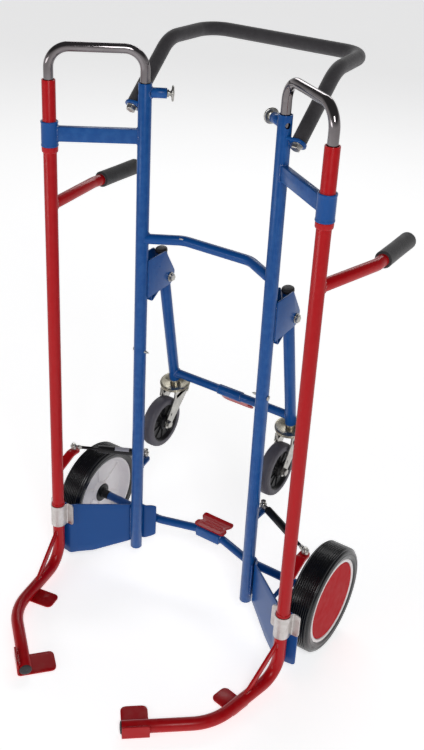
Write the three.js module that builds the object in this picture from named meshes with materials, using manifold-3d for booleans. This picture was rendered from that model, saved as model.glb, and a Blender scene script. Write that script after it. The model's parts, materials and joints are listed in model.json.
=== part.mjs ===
// Tyre-stack hand truck: a tubular frame on two solid-rubber wheels, with two swinging gripper arms that
// are held shut by gas springs, two telescoping top bows, a padded push handle, and a folding rear
// support with two swivel castors.
//
// Millimetres. +Z up, +Y towards the person who pushes, +X to the right when seen from the load side.
// The origin is on the floor, at the middle of the footprint. "right" is +X and "left" is -X.

import * as THREE from 'three';
import { mergeVertices } from 'three/addons/utils/BufferGeometryUtils.js';
import Module from 'manifold-3d';

const wasm = await Module();
wasm.setup();

// ---------------------------------------------------------------- driving dimensions

const GAP = 0.3; // between pieces that touch
const PLATE = 4; // sheet thickness of the frame's plates
const SIDES = 12; // facets round a tube
const BORE_SIDES = 8; // facets round a hole or a tube's bore
const WHEEL_SIDES = 30;
const UPRIGHT_PLANE_Y = 85; // distance of the uprights behind the middle of the footprint

const frameTube = { radius: 14, bore: 11.7 };
const upright = { x: 160, foot: 65, top: 1222 };
const pivot = { x: 314.8, y: -111.2, top: 1222.9, collarRadius: 17 };
const bow = { radius: 10, bore: 8, topZ: 1288, legFoot: 800, bend: 42, holes: 4, holePitch: 70 };
const topArm = {
  z: 1113, height: 31, thickness: 15, sleeveRadius: 17.4, sleeveFoot: 1086.8, sleeveTop: 1139.3,
};
const plunger = {
  z: 1203, turn: 33, bossRadius: 11, bossReach: 44, bore: 4.8, spindle: 4.3, knob: 16, knobEnd: 58,
};

const wheel = { x: 325.7, y: 55.4, radius: 125, width: 60, rim: 100, cap: 92, hub: 24 };
const axle = { radius: 10, bore: 7, endX: 344, bendX: 130, midX: 37, midY: 84.5, bend: 60 };
const upperBar = { z: 890.5, radius: 11, bore: 9, bendX: 82.8, y: 44.6, bend: 45 };

const jaw = {
  z: 18.3, cornerX: 279, cornerY: -310.1, tipX: 132.5, tipY: -434.5, heelBend: 52, sideBend: 130,
};
const toe = { length: 58, reach: 69, lip: 36, corner: 12 };
const tab = { x: 232, y: -234, length: 60, width: 46, corner: 12 };

const strap = { foot: 130, top: 187, ear: 17, thickness: 3 };
const basePlate = { top: 183, flangeY: -93, flangeX: 346, foldX: 284, foldY: -80 };

const sideHandle = {
  radius: 12.5, bore: 10.5, z: 958.6, bendX: 348, bendY: 66, endX: 344, endY: 216, bend: 40,
};
const grip = { radius: 18, length: 128 };

const pushHandle = {
  radius: 11, bore: 9, foam: 14.5,
  footX: 190, footY: -6, footZ: 1165, shoulderX: 192, shoulderY: 123, shoulderZ: 1287,
  cornerX: 182, cornerY: 264, cornerZ: 1289, shoulderBend: 70, cornerBend: 48,
};

const spring = {
  z: 317, lugX: 164.7, lugY: 37.8, ballX: 318.9, ballY: -45.5, body: 9, rod: 4, bodyEnd: 116,
};
const leverTop = 309;

const leg = {
  x: 160, radius: 12.5, bore: 10.5, topY: 70.9, topZ: 844.5, footY: 143.2, footZ: 480, capHeight: 9,
};
const legBar = { radius: 10, z: 500, y: 139.2, sleeve: 12, sleeveReach: 30, pedalFall: 52 };
const legPivot = { y: 85.5, z: 774, bolt: 5, clear: 5.4 };
const bracket = { inner: 14.4, thickness: 3 };
const castor = {
  radius: 62.5, width: 30, drop: 75, trail: 70, race: 37, collar: 8, stem: 8, fork: 18, axle: 6,
};
const footPad = { width: 85, depth: 52, thickness: 3, notch: 8 };
const brace = { thickness: 6 };

// ---------------------------------------------------------------- solids

const v3 = (x, y, z) => new THREE.Vector3(x, y, z);

/** Welds a closed three.js geometry into a solid that can be joined and cut. */
function solid(geometry) {
  const bare = geometry.clone();
  bare.deleteAttribute('normal');
  bare.deleteAttribute('uv');
  const welded = mergeVertices(bare, 1e-3);
  const corners = welded.index.array;
  const triangles = [];
  for (let i = 0; i < corners.length; i += 3) {
    const [a, b, c] = [corners[i], corners[i + 1], corners[i + 2]];
    if (a !== b && b !== c && c !== a) triangles.push(a, b, c);
  }
  return new wasm.Manifold(new wasm.Mesh({
    numProp: 3,
    vertProperties: new Float32Array(welded.attributes.position.array),
    triVerts: new Uint32Array(triangles),
  }));
}

const join = (first, ...others) => others.reduce((body, other) => body.add(other), first);
const cut = (body, ...tools) => tools.reduce((rest, tool) => rest.subtract(tool), body);

function circle(radius, sides = SIDES) {
  const points = [];
  for (let i = 0; i < sides; i++) {
    const angle = (2 * Math.PI * i) / sides;
    points.push(new THREE.Vector2(radius * Math.cos(angle), radius * Math.sin(angle)));
  }
  return points;
}

/** A path of straight runs and round bends, with stations only where the direction changes. */
class BentPath extends THREE.Curve {
  constructor(stations) {
    super();
    this.stations = stations;
  }

  get steps() {
    return this.stations.length - 1;
  }

  getPointAt(u, target = new THREE.Vector3()) {
    return target.copy(this.stations[Math.round(u * this.steps)].point);
  }

  getTangentAt(u, target = new THREE.Vector3()) {
    return target.copy(this.stations[Math.round(u * this.steps)].tangent);
  }
}

/** Rounds each inner corner of a route with its own bend radius. */
function bentPath(corners, bends, degreesPerStep = 15) {
  const directions = corners.slice(1).map((corner, i) => corner.clone().sub(corners[i]).normalize());
  const stations = [{ point: corners[0], tangent: directions[0] }];
  bends.forEach((radius, i) => {
    const [before, after] = [directions[i], directions[i + 1]];
    const turn = before.angleTo(after);
    const normal = before.clone().cross(after).normalize();
    const start = corners[i + 1].clone().addScaledVector(before, -radius * Math.tan(turn / 2));
    const centre = start.clone().addScaledVector(normal.clone().cross(before), radius);
    const steps = Math.max(2, Math.ceil(THREE.MathUtils.radToDeg(turn) / degreesPerStep));
    for (let k = 0; k <= steps; k++) {
      const angle = (turn * k) / steps;
      const point = start.clone().sub(centre).applyAxisAngle(normal, angle).add(centre);
      stations.push({ point, tangent: before.clone().applyAxisAngle(normal, angle) });
    }
  });
  stations.push({ point: corners.at(-1), tangent: directions.at(-1) });
  return new BentPath(stations);
}

function bar(corners, bends, radius, sides = SIDES) {
  const path = bentPath(corners, bends);
  const section = new THREE.Shape(circle(radius, sides));
  return solid(new THREE.ExtrudeGeometry(section, { steps: path.steps, extrudePath: path }));
}

/** The same route with both ends moved outwards, so that a bore or a cutter runs past them. */
function lengthened(corners, extra) {
  const longer = corners.map((corner) => corner.clone());
  const last = corners.length - 1;
  longer[0].addScaledVector(corners[0].clone().sub(corners[1]).normalize(), extra);
  longer[last].addScaledVector(corners[last].clone().sub(corners[last - 1]).normalize(), extra);
  return longer;
}

function pipe(corners, bends, radius, bore) {
  return cut(bar(corners, bends, radius), bar(lengthened(corners, 1), bends, bore, BORE_SIDES));
}

const rod = (from, to, radius, sides = SIDES) => bar([from, to], [], radius, sides);

/** A straight cutter with all its facets outside `radius`, so that a round piece of that size fits. */
const drill = (from, to, radius, sides = BORE_SIDES) =>
  rod(from, to, radius / Math.cos(Math.PI / sides), sides);

/** A sheet or block: an outline in the plane of `across` and `up`, thickened by `depth` about its middle. */
function slab(outline, depth, middle, across, up) {
  const geometry = new THREE.ExtrudeGeometry(new THREE.Shape(outline), { depth, bevelEnabled: false });
  geometry.translate(0, 0, -depth / 2);
  const out = across.clone().cross(up);
  geometry.applyMatrix4(new THREE.Matrix4().makeBasis(across, up, out).setPosition(middle));
  return solid(geometry);
}

const X = v3(1, 0, 0);
const Y = v3(0, 1, 0);
const Z = v3(0, 0, 1);

/** Flat outline with rounded corners. Each corner is [x, y, radius]. */
function rounded(corners, arcSteps = 3) {
  const count = corners.length;
  const points = [];
  corners.forEach(([x, y, radius = 0], i) => {
    const here = new THREE.Vector2(x, y);
    if (radius === 0) {
      points.push(here);
      return;
    }
    const toPrevious = new THREE.Vector2(...corners[(i + count - 1) % count]).sub(here).normalize();
    const toNext = new THREE.Vector2(...corners[(i + 1) % count]).sub(here).normalize();
    const half = Math.acos(toPrevious.dot(toNext)) / 2;
    const start = here.clone().addScaledVector(toPrevious, radius / Math.tan(half));
    const end = here.clone().addScaledVector(toNext, radius / Math.tan(half));
    for (let k = 0; k <= arcSteps; k++) {
      const t = k / arcSteps;
      const point = start.clone().multiplyScalar((1 - t) ** 2);
      point.addScaledVector(here, 2 * t * (1 - t)).addScaledVector(end, t ** 2);
      points.push(point);
    }
  });
  return points;
}

/** The outline of a folded sheet seen edge-on: a centre line thickened to both sides. */
function foldedSheet(centreLine, thickness) {
  const points = centreLine.map(([x, y]) => new THREE.Vector2(x, y));
  const offset = (i, side) => {
    const before = points[i].clone().sub(points[Math.max(i - 1, 0)]).normalize();
    const after = points[Math.min(i + 1, points.length - 1)].clone().sub(points[i]).normalize();
    const along = before.clone().add(after).normalize();
    const mitre = Math.sqrt((1 + (before.length() && after.length() ? before.dot(after) : 1)) / 2);
    const normal = new THREE.Vector2(-along.y, along.x);
    return points[i].clone().addScaledVector(normal, (side * thickness) / 2 / mitre);
  };
  const order = points.map((_, i) => i);
  return [...order.map((i) => offset(i, -1)), ...order.reverse().map((i) => offset(i, 1))];
}

/** A turned piece about the X axis, through `centre`. The profile's points are [radius, distance along X]. */
function turned(profile, centre, sides) {
  const outline = [...profile, profile[0]].reverse()
    .map(([radius, along]) => new THREE.Vector2(radius, along));
  const geometry = new THREE.LatheGeometry(outline, sides);
  geometry.rotateZ(-Math.PI / 2);
  geometry.translate(centre.x, centre.y, centre.z);
  return solid(geometry);
}

function hexHead(centre, axis, acrossFlats, height) {
  const corner = acrossFlats / Math.sqrt(3);
  return rod(centre, centre.clone().addScaledVector(axis, height), corner, 6);
}

// ---------------------------------------------------------------- reference points (right-hand side)

const uprightAt = (z) => v3(upright.x, 0, z);
const pivotAt = (z) => v3(pivot.x, pivot.y, z);
const towardsPivot = pivotAt(0).sub(uprightAt(0)).normalize();
const heelDirection = v3(jaw.cornerX - pivot.x, jaw.cornerY - pivot.y, 0).normalize();
const jawDirection = v3(jaw.tipX - jaw.cornerX, jaw.tipY - jaw.cornerY, 0).normalize();
const jawInward = v3(jawDirection.y, -jawDirection.x, 0);
const jawTip = v3(jaw.tipX, jaw.tipY, jaw.z);

const turn = THREE.MathUtils.degToRad(plunger.turn);
const plungerAxis = v3(-Math.cos(turn), Math.sin(turn), 0);
const plungerAt = (reach) => uprightAt(plunger.z).addScaledVector(plungerAxis, reach);

const handleFoot = v3(pushHandle.footX, pushHandle.footY, pushHandle.footZ);
const handleShoulder = v3(pushHandle.shoulderX, pushHandle.shoulderY, pushHandle.shoulderZ);
const handleAxis = handleShoulder.clone().sub(handleFoot).normalize();
const handleAt = (reach) => handleFoot.clone().addScaledVector(handleAxis, reach);

const springLug = v3(spring.lugX, spring.lugY, spring.z);
const springBall = v3(spring.ballX, spring.ballY, spring.z);
const springAxis = springBall.clone().sub(springLug).normalize();
const springLength = springLug.distanceTo(springBall);
const springAt = (reach) => springLug.clone().addScaledVector(springAxis, reach);

const legTop = v3(leg.x, leg.topY, leg.topZ);
const legFoot = v3(leg.x, leg.footY, leg.footZ);
const legAxis = legTop.clone().sub(legFoot).normalize();
const legAt = (reach) => legFoot.clone().addScaledVector(legAxis, reach);
const boltAt = (across) => v3(upright.x + across, legPivot.y, legPivot.z);
const legTilt = Math.atan2(leg.footY - leg.topY, leg.topZ - leg.footZ);

const pivotRoute = [
  pivotAt(pivot.top), pivotAt(jaw.z), v3(jaw.cornerX, jaw.cornerY, jaw.z), jawTip,
];
const pivotBends = [jaw.heelBend, jaw.sideBend];
const sideHandleRoute = [
  v3(pivot.x, pivot.y, sideHandle.z), v3(sideHandle.bendX, sideHandle.bendY, sideHandle.z - 7),
  v3(sideHandle.endX, sideHandle.endY, sideHandle.z - 7),
];
const gripAxis = sideHandleRoute[2].clone().sub(sideHandleRoute[1]).normalize();
const pivotClearance = bar(lengthened(pivotRoute, 3), pivotBends, frameTube.radius + GAP);

// ---------------------------------------------------------------- frame

function uprightTube() {
  const shell = rod(uprightAt(upright.foot), uprightAt(upright.top), frameTube.radius);
  const lugUp = X.clone().cross(handleAxis).negate();
  const lugOutline = rounded([[-22, -15, 2], [16, -15, 13], [16, 15, 13], [-22, 15, 2]]);
  const handleLug = slab(lugOutline, 5, handleAt(9.5), X, lugUp);
  const springPlate = slab(
    rounded([[-12, 0], [12, 0], [13, 47, 8], [-4, 47, 7]]), 6, v3(upright.x, 0, spring.z - 15), X, Y,
  );
  const stud = rod(springLug.clone().setZ(spring.z - 14), springLug.clone().setZ(spring.z + 9), 3, 8);
  const studHead = rod(springLug.clone().setZ(spring.z + 7), springLug.clone().setZ(spring.z + 11), 6, 10);
  const boss = rod(plungerAt(5), plungerAt(plunger.bossReach), plunger.bossRadius);
  return cut(
    join(shell, handleLug, springPlate, stud, studHead, boss),
    rod(uprightAt(upright.foot - 1), uprightAt(upright.top + 1), frameTube.bore, BORE_SIDES),
    drill(plungerAt(0), plungerAt(plunger.bossReach + 1), plunger.bore),
    drill(plungerAt(0), plungerAt(-frameTube.radius - 1), 5.3),
    drill(handleAt(5), handleAt(14), 5.3),
  );
}

/** Cuts both ends of a cross member so that they fit against the uprights. */
function fitBetweenUprights(body) {
  const clearance = drill(uprightAt(0), uprightAt(upright.top), frameTube.radius + GAP, SIDES);
  const outside = slab(rounded([[0, -60], [60, -60], [60, 60], [0, 60]]), 1500, uprightAt(750), X, Y);
  return [1, -1].reduce((rest, side) => {
    const cutter = side === 1 ? join(clearance, outside) : mirroredSolid(join(clearance, outside));
    return cut(rest, cutter);
  }, body);
}

function upperCrossbar() {
  const { z, y, bendX, bend, radius, bore } = upperBar;
  const route = [v3(-upright.x, 0, z), v3(-bendX, y, z), v3(bendX, y, z), v3(upright.x, 0, z)];
  return fitBetweenUprights(pipe(route, [bend, bend], radius, bore));
}

function axleTube() {
  const { endX, bendX, midX, midY, bend, radius, bore } = axle;
  const { y, radius: z } = wheel;
  const route = [
    v3(-endX, y, z), v3(-bendX, y, z), v3(-midX, midY, z), v3(midX, midY, z), v3(bendX, y, z), v3(endX, y, z),
  ];
  const box = slab(rounded([[-33, -12], [33, -12], [33, 12], [-33, 12]]), 25, v3(0, midY, z), X, Z);
  const bends = [bend, bend, bend, bend];
  return cut(join(bar(route, bends, radius), box), bar(lengthened(route, 1), bends, bore, BORE_SIDES));
}

/** Notched pedal pad, drawn about the middle of its fixed edge, reaching along `up`. */
function pedalPad(edgeMiddle, across, up) {
  const half = footPad.width / 2;
  const { depth, notch } = footPad;
  const outline = rounded([
    [3 - half, 0, 4], [half - 3, 0, 4], [half, depth * 0.22, 7], [half - notch, depth * 0.5, 6],
    [half, depth * 0.78, 7], [half - 8, depth, 6], [8 - half, depth, 6], [-half, depth * 0.78, 7],
    [notch - half, depth * 0.5, 6], [-half, depth * 0.22, 7],
  ], 2);
  return slab(outline, footPad.thickness, edgeMiddle, across, up);
}

function lowerPedal() {
  return pedalPad(v3(0, axle.midY - 6, wheel.radius + 14), X, Y);
}

function topArmBracket() {
  const span = pivotAt(0).distanceTo(uprightAt(0));
  const middle = uprightAt(topArm.z).lerp(pivotAt(topArm.z), 0.5);
  const half = topArm.height / 2;
  const outline = rounded([[-span / 2, -half], [span / 2, -half], [span / 2, half], [-span / 2, half]]);
  const beam = slab(outline, topArm.thickness, middle, towardsPivot, Z);
  const sleeve = rod(pivotAt(topArm.sleeveFoot), pivotAt(topArm.sleeveTop), topArm.sleeveRadius);
  return cut(
    join(beam, sleeve),
    drill(uprightAt(1000), uprightAt(upright.top), frameTube.radius + GAP, SIDES),
    drill(pivotAt(1000), pivotAt(upright.top), frameTube.radius + 0.5, SIDES),
  );
}

function foldedBasePlate() {
  const { top, flangeY, flangeX, foldX, foldY } = basePlate;
  const plan = foldedSheet([
    [132.8, 43.4], [150, 21], [163, 18.4], [176, 10.6], [180, -3], [foldX - 3, foldY], [foldX + 10, flangeY],
    [flangeX, flangeY],
  ], PLATE);
  const sheet = slab(plan, top - 30, v3(0, 0, (top + 30) / 2), X, Y);
  const elevation = rounded([
    [129, top - 10, 18], [158, top - 1], [166, top], [flangeX, top, 8], [flangeX, 46, 10], [foldX + 8, 38, 8],
    [250, 43, 20], [176, 76], [158, 80], [129, 85, 16],
  ]);
  const trimmed = sheet.intersect(slab(elevation, 400, v3(0, 0, 0), X, Z));
  const strut = rod(v3(226, -36, 93), v3(236, wheel.y - axle.radius - 4, 120), 5, 10);
  return join(trimmed, strut);
}

function pivotStrap() {
  const inner = frameTube.radius + 0.5;
  const outer = inner + strap.thickness;
  const flangeFace = basePlate.flangeY - PLATE / 2 - GAP;
  const height = strap.top - strap.foot;
  const middle = pivotAt((strap.foot + strap.top) / 2);
  const earLine = flangeFace - pivot.y;
  const ears = slab(
    rounded([
      [-outer - strap.ear, earLine - strap.thickness], [outer + strap.ear, earLine - strap.thickness],
      [outer + strap.ear, earLine], [-outer - strap.ear, earLine],
    ]), height, middle, X, Y,
  );
  const crown = join(
    rod(pivotAt(strap.foot), pivotAt(strap.top), outer),
    slab(rounded([[-outer, 0], [outer, 0], [outer, earLine], [-outer, earLine]]), height, middle, X, Y),
  );
  const hollow = join(
    drill(pivotAt(strap.foot - 1), pivotAt(strap.top + 1), inner, SIDES),
    slab(rounded([[-inner, 0], [inner, 0], [inner, 40], [-inner, 40]]), height + 2, middle, X, Y),
  );
  return cut(join(crown, ears), hollow);
}

function castorBracket() {
  const flangeOutline = rounded([
    [2, 841], [66, 843, 8], [103, 783, 14], [90, 757, 12], [2, 752],
  ]);
  const flange = (side) => slab(
    flangeOutline, bracket.thickness,
    v3(upright.x + side * (bracket.inner + bracket.thickness / 2), 0, 0), Y, Z,
  );
  const webOutline = rounded([[17, 734], [21, 733], [54, 757], [50, 761], [20, 739], [17, 760]]);
  const web = slab(webOutline, 2 * bracket.inner + 1, v3(upright.x, 0, 0), Y, Z);
  const boltHole = drill(boltAt(-30), boltAt(30), legPivot.clear);
  return cut(
    join(flange(1), flange(-1), web), boltHole,
    drill(uprightAt(700), uprightAt(900), frameTube.radius + GAP, SIDES),
  );
}

function castorPivotBolt() {
  const half = bracket.inner + bracket.thickness + GAP;
  return join(
    rod(boltAt(-half - 9), boltAt(half + 1), legPivot.bolt, 12),
    hexHead(boltAt(half), X, 16, 6.5),
    hexHead(boltAt(-half), X.clone().negate(), 16, 8),
  );
}

// ---------------------------------------------------------------- push handle

const handleRoute = [
  handleAt(13), handleShoulder, v3(pushHandle.cornerX, pushHandle.cornerY, pushHandle.cornerZ),
];
const wholeHandleRoute = [
  ...handleRoute,
  ...handleRoute.map((corner) => v3(-corner.x, corner.y, corner.z)).reverse(),
];
const { shoulderBend, cornerBend } = pushHandle;
const handleBends = [shoulderBend, cornerBend, cornerBend, shoulderBend];

function pushHandleTube() {
  return pipe(wholeHandleRoute, handleBends, pushHandle.radius, pushHandle.bore);
}

function pushHandleFoam() {
  const clearance = bar(lengthened(wholeHandleRoute, 4), handleBends, pushHandle.radius + GAP);
  return cut(bar(lengthened(wholeHandleRoute, -1), handleBends, pushHandle.foam), clearance);
}

function handleBolt() {
  return join(
    hexHead(handleAt(6.6), handleAxis.clone().negate(), 17, 7),
    rod(handleAt(5), handleAt(34), 5, 12),
  );
}

// ---------------------------------------------------------------- gripper arms

function pivotTube() {
  const tube = bar(pivotRoute, pivotBends, frameTube.radius);
  const upperCollar = rod(pivotAt(1074), pivotAt(topArm.sleeveFoot - GAP), pivot.collarRadius);
  const lowerCollar = rod(pivotAt(strap.top + GAP), pivotAt(strap.top + 7), frameTube.radius + 1.6);
  const boreFoot = jaw.z + jaw.heelBend + 8;
  const bore = rod(pivotAt(boreFoot), pivotAt(pivot.top + 1), frameTube.bore, BORE_SIDES);
  return cut(join(tube, upperCollar, lowerCollar), bore);
}

function jawBrace() {
  const outline = rounded([[8, 118], [13, 116.5], [111, 31], [111, 26], [95, 26], [8, 103]]);
  return cut(slab(outline, brace.thickness, v3(pivot.x, pivot.y, 0), heelDirection, Z), pivotClearance);
}

function toePlate() {
  const outer = -frameTube.radius - GAP;
  const bottom = slab(
    rounded([[-toe.length, outer - PLATE], [0, outer - PLATE], [0, toe.reach, toe.corner],
      [-toe.length, toe.reach, toe.corner]]),
    PLATE, v3(jaw.tipX, jaw.tipY, PLATE / 2), jawDirection, jawInward,
  );
  const lip = slab(
    rounded([[-toe.length, 0], [0, 0], [0, toe.lip, 4], [-toe.length, toe.lip, 4]]), PLATE,
    v3(jaw.tipX, jaw.tipY, 0).addScaledVector(jawInward, outer - PLATE / 2), jawDirection, Z,
  );
  return join(bottom, lip);
}

function tyreTab() {
  const direction = v3(-heelDirection.y, heelDirection.x, 0);
  const outline = rounded([
    [-tab.length, -tab.width / 2, tab.corner], [8, -tab.width / 2], [8, tab.width / 2],
    [-tab.length, tab.width / 2, tab.corner],
  ]);
  const middle = v3(tab.x + tab.length, tab.y, PLATE / 2);
  return slab(outline, PLATE, middle, direction, heelDirection.clone().negate());
}

function jawEndCap() {
  const jawAt = (reach) => jawTip.clone().addScaledVector(jawDirection, reach);
  return rod(jawAt(GAP), jawAt(3.5), frameTube.radius - 0.2);
}

function sideHandleTube() {
  const tube = pipe(sideHandleRoute, [sideHandle.bend], sideHandle.radius, sideHandle.bore);
  return cut(tube, pivotClearance);
}

function sideGrip() {
  const end = sideHandleRoute[2].clone().addScaledVector(gripAxis, 5);
  const start = end.clone().addScaledVector(gripAxis, -grip.length);
  const pocketEnd = sideHandleRoute[2].clone().addScaledVector(gripAxis, GAP);
  const pocketRoute = [sideHandleRoute[0], sideHandleRoute[1], pocketEnd];
  const pocket = bar(pocketRoute, [sideHandle.bend], sideHandle.radius + GAP);
  return cut(rod(start, end, grip.radius), pocket);
}

function springLever() {
  const outline = rounded([
    [-100, 286], [-58, leverTop - 7], [-32, leverTop - 7], [-32, leverTop], [-61, leverTop], [-100, 295],
  ]);
  const middle = (pivot.x + spring.ballX) / 2;
  return cut(slab(outline, 22, v3(middle, 0, 0), Y, Z), pivotClearance);
}

// ---------------------------------------------------------------- gas springs

function eye(centre) {
  return rod(centre.clone().setZ(spring.z - 6), centre.clone().setZ(spring.z + 6), 7, 12);
}

function springBody() {
  const neck = rod(springAt(3), springAt(22), 4.5, 10);
  const cylinder = rod(springAt(20), springAt(spring.bodyEnd), spring.body);
  return cut(
    join(eye(springLug), neck, cylinder),
    drill(springLug.clone().setZ(spring.z - 9), springLug.clone().setZ(spring.z + 9), 3.5),
    drill(springAt(30), springAt(spring.bodyEnd + 1), spring.rod + 0.5),
  );
}

function springRod() {
  const shaft = rod(springAt(70), springAt(springLength - 3), spring.rod, 10);
  const neck = rod(springAt(springLength - 22), springAt(springLength - 3), 4.8, 10);
  const stud = rod(springBall.clone().setZ(leverTop + 0.8), springBall.clone().setZ(spring.z + 9), 4, 10);
  return join(shaft, neck, eye(springBall), stud);
}

// ---------------------------------------------------------------- bows and plungers

function chromeBow() {
  const route = [
    uprightAt(bow.legFoot), uprightAt(bow.topZ), pivotAt(bow.topZ), pivotAt(bow.legFoot),
  ];
  const indexHoles = Array.from({ length: bow.holes }, (_, i) => {
    const drop = v3(0, 0, -i * bow.holePitch);
    return drill(plungerAt(0).add(drop), plungerAt(bow.radius + 2).add(drop), plunger.bore);
  });
  return cut(pipe(route, [bow.bend, bow.bend], bow.radius, bow.bore), ...indexHoles);
}

function plungerPin() {
  const { spindle, knob, knobEnd, bossReach } = plunger;
  return join(
    rod(plungerAt(frameTube.bore + 0.3), plungerAt(knobEnd - 2), spindle, 12),
    rod(plungerAt(bossReach + GAP), plungerAt(knobEnd - 4), 7, 12),
    rod(plungerAt(knobEnd - 5), plungerAt(knobEnd), knob, 20),
  );
}

// ---------------------------------------------------------------- wheels

const wheelCentre = v3(wheel.x, wheel.y, wheel.radius);

function tyre() {
  const half = wheel.width / 2;
  const inner = wheel.rim + GAP;
  return turned([
    [inner, -half + 3], [inner, half - 3], [inner + 6, half], [wheel.radius - 9, half],
    [wheel.radius - 2, half - 5], [wheel.radius, half - 12], [wheel.radius, 12 - half],
    [wheel.radius - 2, 5 - half], [wheel.radius - 9, -half], [inner + 6, -half],
  ], wheelCentre, WHEEL_SIDES);
}

function rim() {
  const ring = wheel.cap + GAP;
  const bore = axle.radius + 0.6;
  return turned([
    [bore, -12], [bore, 19.5], [wheel.hub, 19.5], [wheel.hub, 5], [ring - 2, 5], [ring, 8], [ring, 27],
    [wheel.rim, 27], [wheel.rim, -27], [ring - 3, -27], [ring - 3, -2], [wheel.hub + 2, -2],
    [wheel.hub + 2, -12],
  ], wheelCentre, WHEEL_SIDES);
}

function hubCap() {
  const { cap } = wheel;
  const profile = [
    [0, 24.5], [0, 27.5], [70, 27.5], [cap - 3, 26.5], [cap, 24], [cap, 14], [cap - 2.5, 14],
    [cap - 2.5, 22], [70, 24.5],
  ];
  return turned(profile, wheelCentre, WHEEL_SIDES);
}

// ---------------------------------------------------------------- folding rear support

function castorFrame() {
  const top = legTop.clone().addScaledVector(legAxis, -leg.capHeight);
  const rightLeg = rod(legFoot, top, leg.radius);
  const leftLeg = mirroredSolid(rightLeg);
  const cross = rod(v3(-leg.x, legBar.y, legBar.z), v3(leg.x, legBar.y, legBar.z), legBar.radius);
  const sleeve = rod(v3(-legBar.sleeveReach, legBar.y, legBar.z), v3(legBar.sleeveReach, legBar.y, legBar.z),
    legBar.sleeve);
  const bores = [
    rod(legAt(40), top.clone().addScaledVector(legAxis, 1), leg.bore, BORE_SIDES),
    drill(legAt(-1), legAt(41), castor.stem + GAP),
    drill(boltAt(-30), boltAt(30), legPivot.clear),
  ];
  return cut(join(rightLeg, leftLeg, cross, sleeve), ...bores, ...bores.map(mirroredSolid));
}

function legCap() {
  const seat = legTop.clone().addScaledVector(legAxis, GAP - leg.capHeight);
  return rod(seat, legTop, leg.radius + 0.6);
}

function castorPedal() {
  const fall = THREE.MathUtils.degToRad(legBar.pedalFall);
  const down = v3(0, Math.cos(fall), -Math.sin(fall));
  const edge = v3(0, legBar.y, legBar.z).addScaledVector(down, legBar.sleeve + GAP);
  return pedalPad(edge, X, down);
}

/** Castor pieces are drawn about the swivel's top, with the swivel upright and the wheel trailing to -Y. */
const castorAxle = v3(0, -castor.trail, -castor.drop);

function castorFork() {
  const { race, fork, axle: axleRadius, drop, trail } = castor;
  const disc = rod(v3(0, 0, -9), v3(0, 0, 0), race, 20);
  const stem = rod(v3(0, 0, -1), v3(0, 0, castor.collar + 30), castor.stem, 10);
  const collar = rod(v3(0, 0, -1), v3(0, 0, castor.collar - 1), 11);
  const side = rounded([
    [-30, -8], [28, -8], [20, -34, 20], [14 - trail, -drop - 8, 8], [-trail - 4, -drop - 15, 9],
    [-trail - 14, -drop - 2, 9], [-34, -24, 14],
  ]);
  const cheek = (s) => slab(side, 3.5, v3(s * (fork + 1.75), 0, 0), Y, Z);
  const crown = slab(rounded([[-26, -12], [28, -12], [26, -6], [-26, -6]]), 2 * fork + 4, v3(0, 0, 0), Y, Z);
  const pin = rod(castorAxle.clone().setX(-fork - 10), castorAxle.clone().setX(fork + 10), axleRadius, 10);
  const heads = [1, -1].map((s) => hexHead(castorAxle.clone().setX(s * (fork + 3)), v3(s, 0, 0), 16, 6));
  return join(disc, stem, collar, cheek(1), cheek(-1), crown, pin, ...heads);
}

function castorWheel() {
  const half = castor.width / 2;
  const bore = castor.axle + 0.4;
  return turned([
    [bore, -half - 2], [bore, half + 2], [16, half + 2], [17, half - 6], [46, half - 6], [47, half],
    [castor.radius - 4, half], [castor.radius, half - 7], [castor.radius, 7 - half],
    [castor.radius - 4, -half], [47, -half], [46, 6 - half], [17, 6 - half], [16, -half - 2],
  ], castorAxle, 20);
}

// ---------------------------------------------------------------- assembly

const finish = (color, roughness, metalness) =>
  new THREE.MeshStandardMaterial({ color, roughness, metalness });
const blue = () => finish(0x265491, 0.4, 0.1);
const red = () => finish(0xb01920, 0.4, 0.1);
const foam = () => finish(0x323034, 0.9, 0);
const rubber = () => finish(0x1b1c20, 0.7, 0);
const zinc = () => finish(0xa9a59c, 0.35, 0.9);
const chrome = () => finish(0xd8d8da, 0.12, 1);
const greyRubber = () => finish(0x5f5c62, 0.7, 0);
const palePlastic = () => finish(0xbeb9be, 0.55, 0);

function mirroredGeometry(geometry) {
  const copy = geometry.clone().scale(-1, 1, 1);
  const corners = copy.index.array;
  for (let i = 0; i < corners.length; i += 3) {
    [corners[i + 1], corners[i + 2]] = [corners[i + 2], corners[i + 1]];
  }
  return copy;
}

function geometryOf(body) {
  const { vertProperties, triVerts } = body.getMesh();
  const geometry = new THREE.BufferGeometry();
  geometry.setAttribute('position', new THREE.BufferAttribute(new Float32Array(vertProperties), 3));
  geometry.setIndex(new THREE.BufferAttribute(new Uint32Array(triVerts), 1));
  geometry.computeVertexNormals();
  return geometry;
}

function mirroredSolid(body) {
  return solid(mirroredGeometry(geometryOf(body)));
}

/** Adds one mesh whose own origin is `anchor`, so that the piece is placed by its position. */
function place(group, name, geometry, material, anchor = v3(0, 0, 0)) {
  const mesh = new THREE.Mesh(geometry.clone().translate(-anchor.x, -anchor.y, -anchor.z), material);
  mesh.name = name;
  mesh.position.copy(anchor);
  group.add(mesh);
  return mesh;
}

function placePair(group, name, body, material, anchor) {
  const geometry = geometryOf(body);
  place(group, `right_${name}`, geometry, material(), anchor);
  place(group, `left_${name}`, mirroredGeometry(geometry), material(), v3(-anchor.x, anchor.y, anchor.z));
}

const truck = new THREE.Group();
const frame = new THREE.Group();
const arms = new THREE.Group();
const support = new THREE.Group();
truck.add(frame, arms, support);
truck.position.y = UPRIGHT_PLANE_Y;

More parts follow.
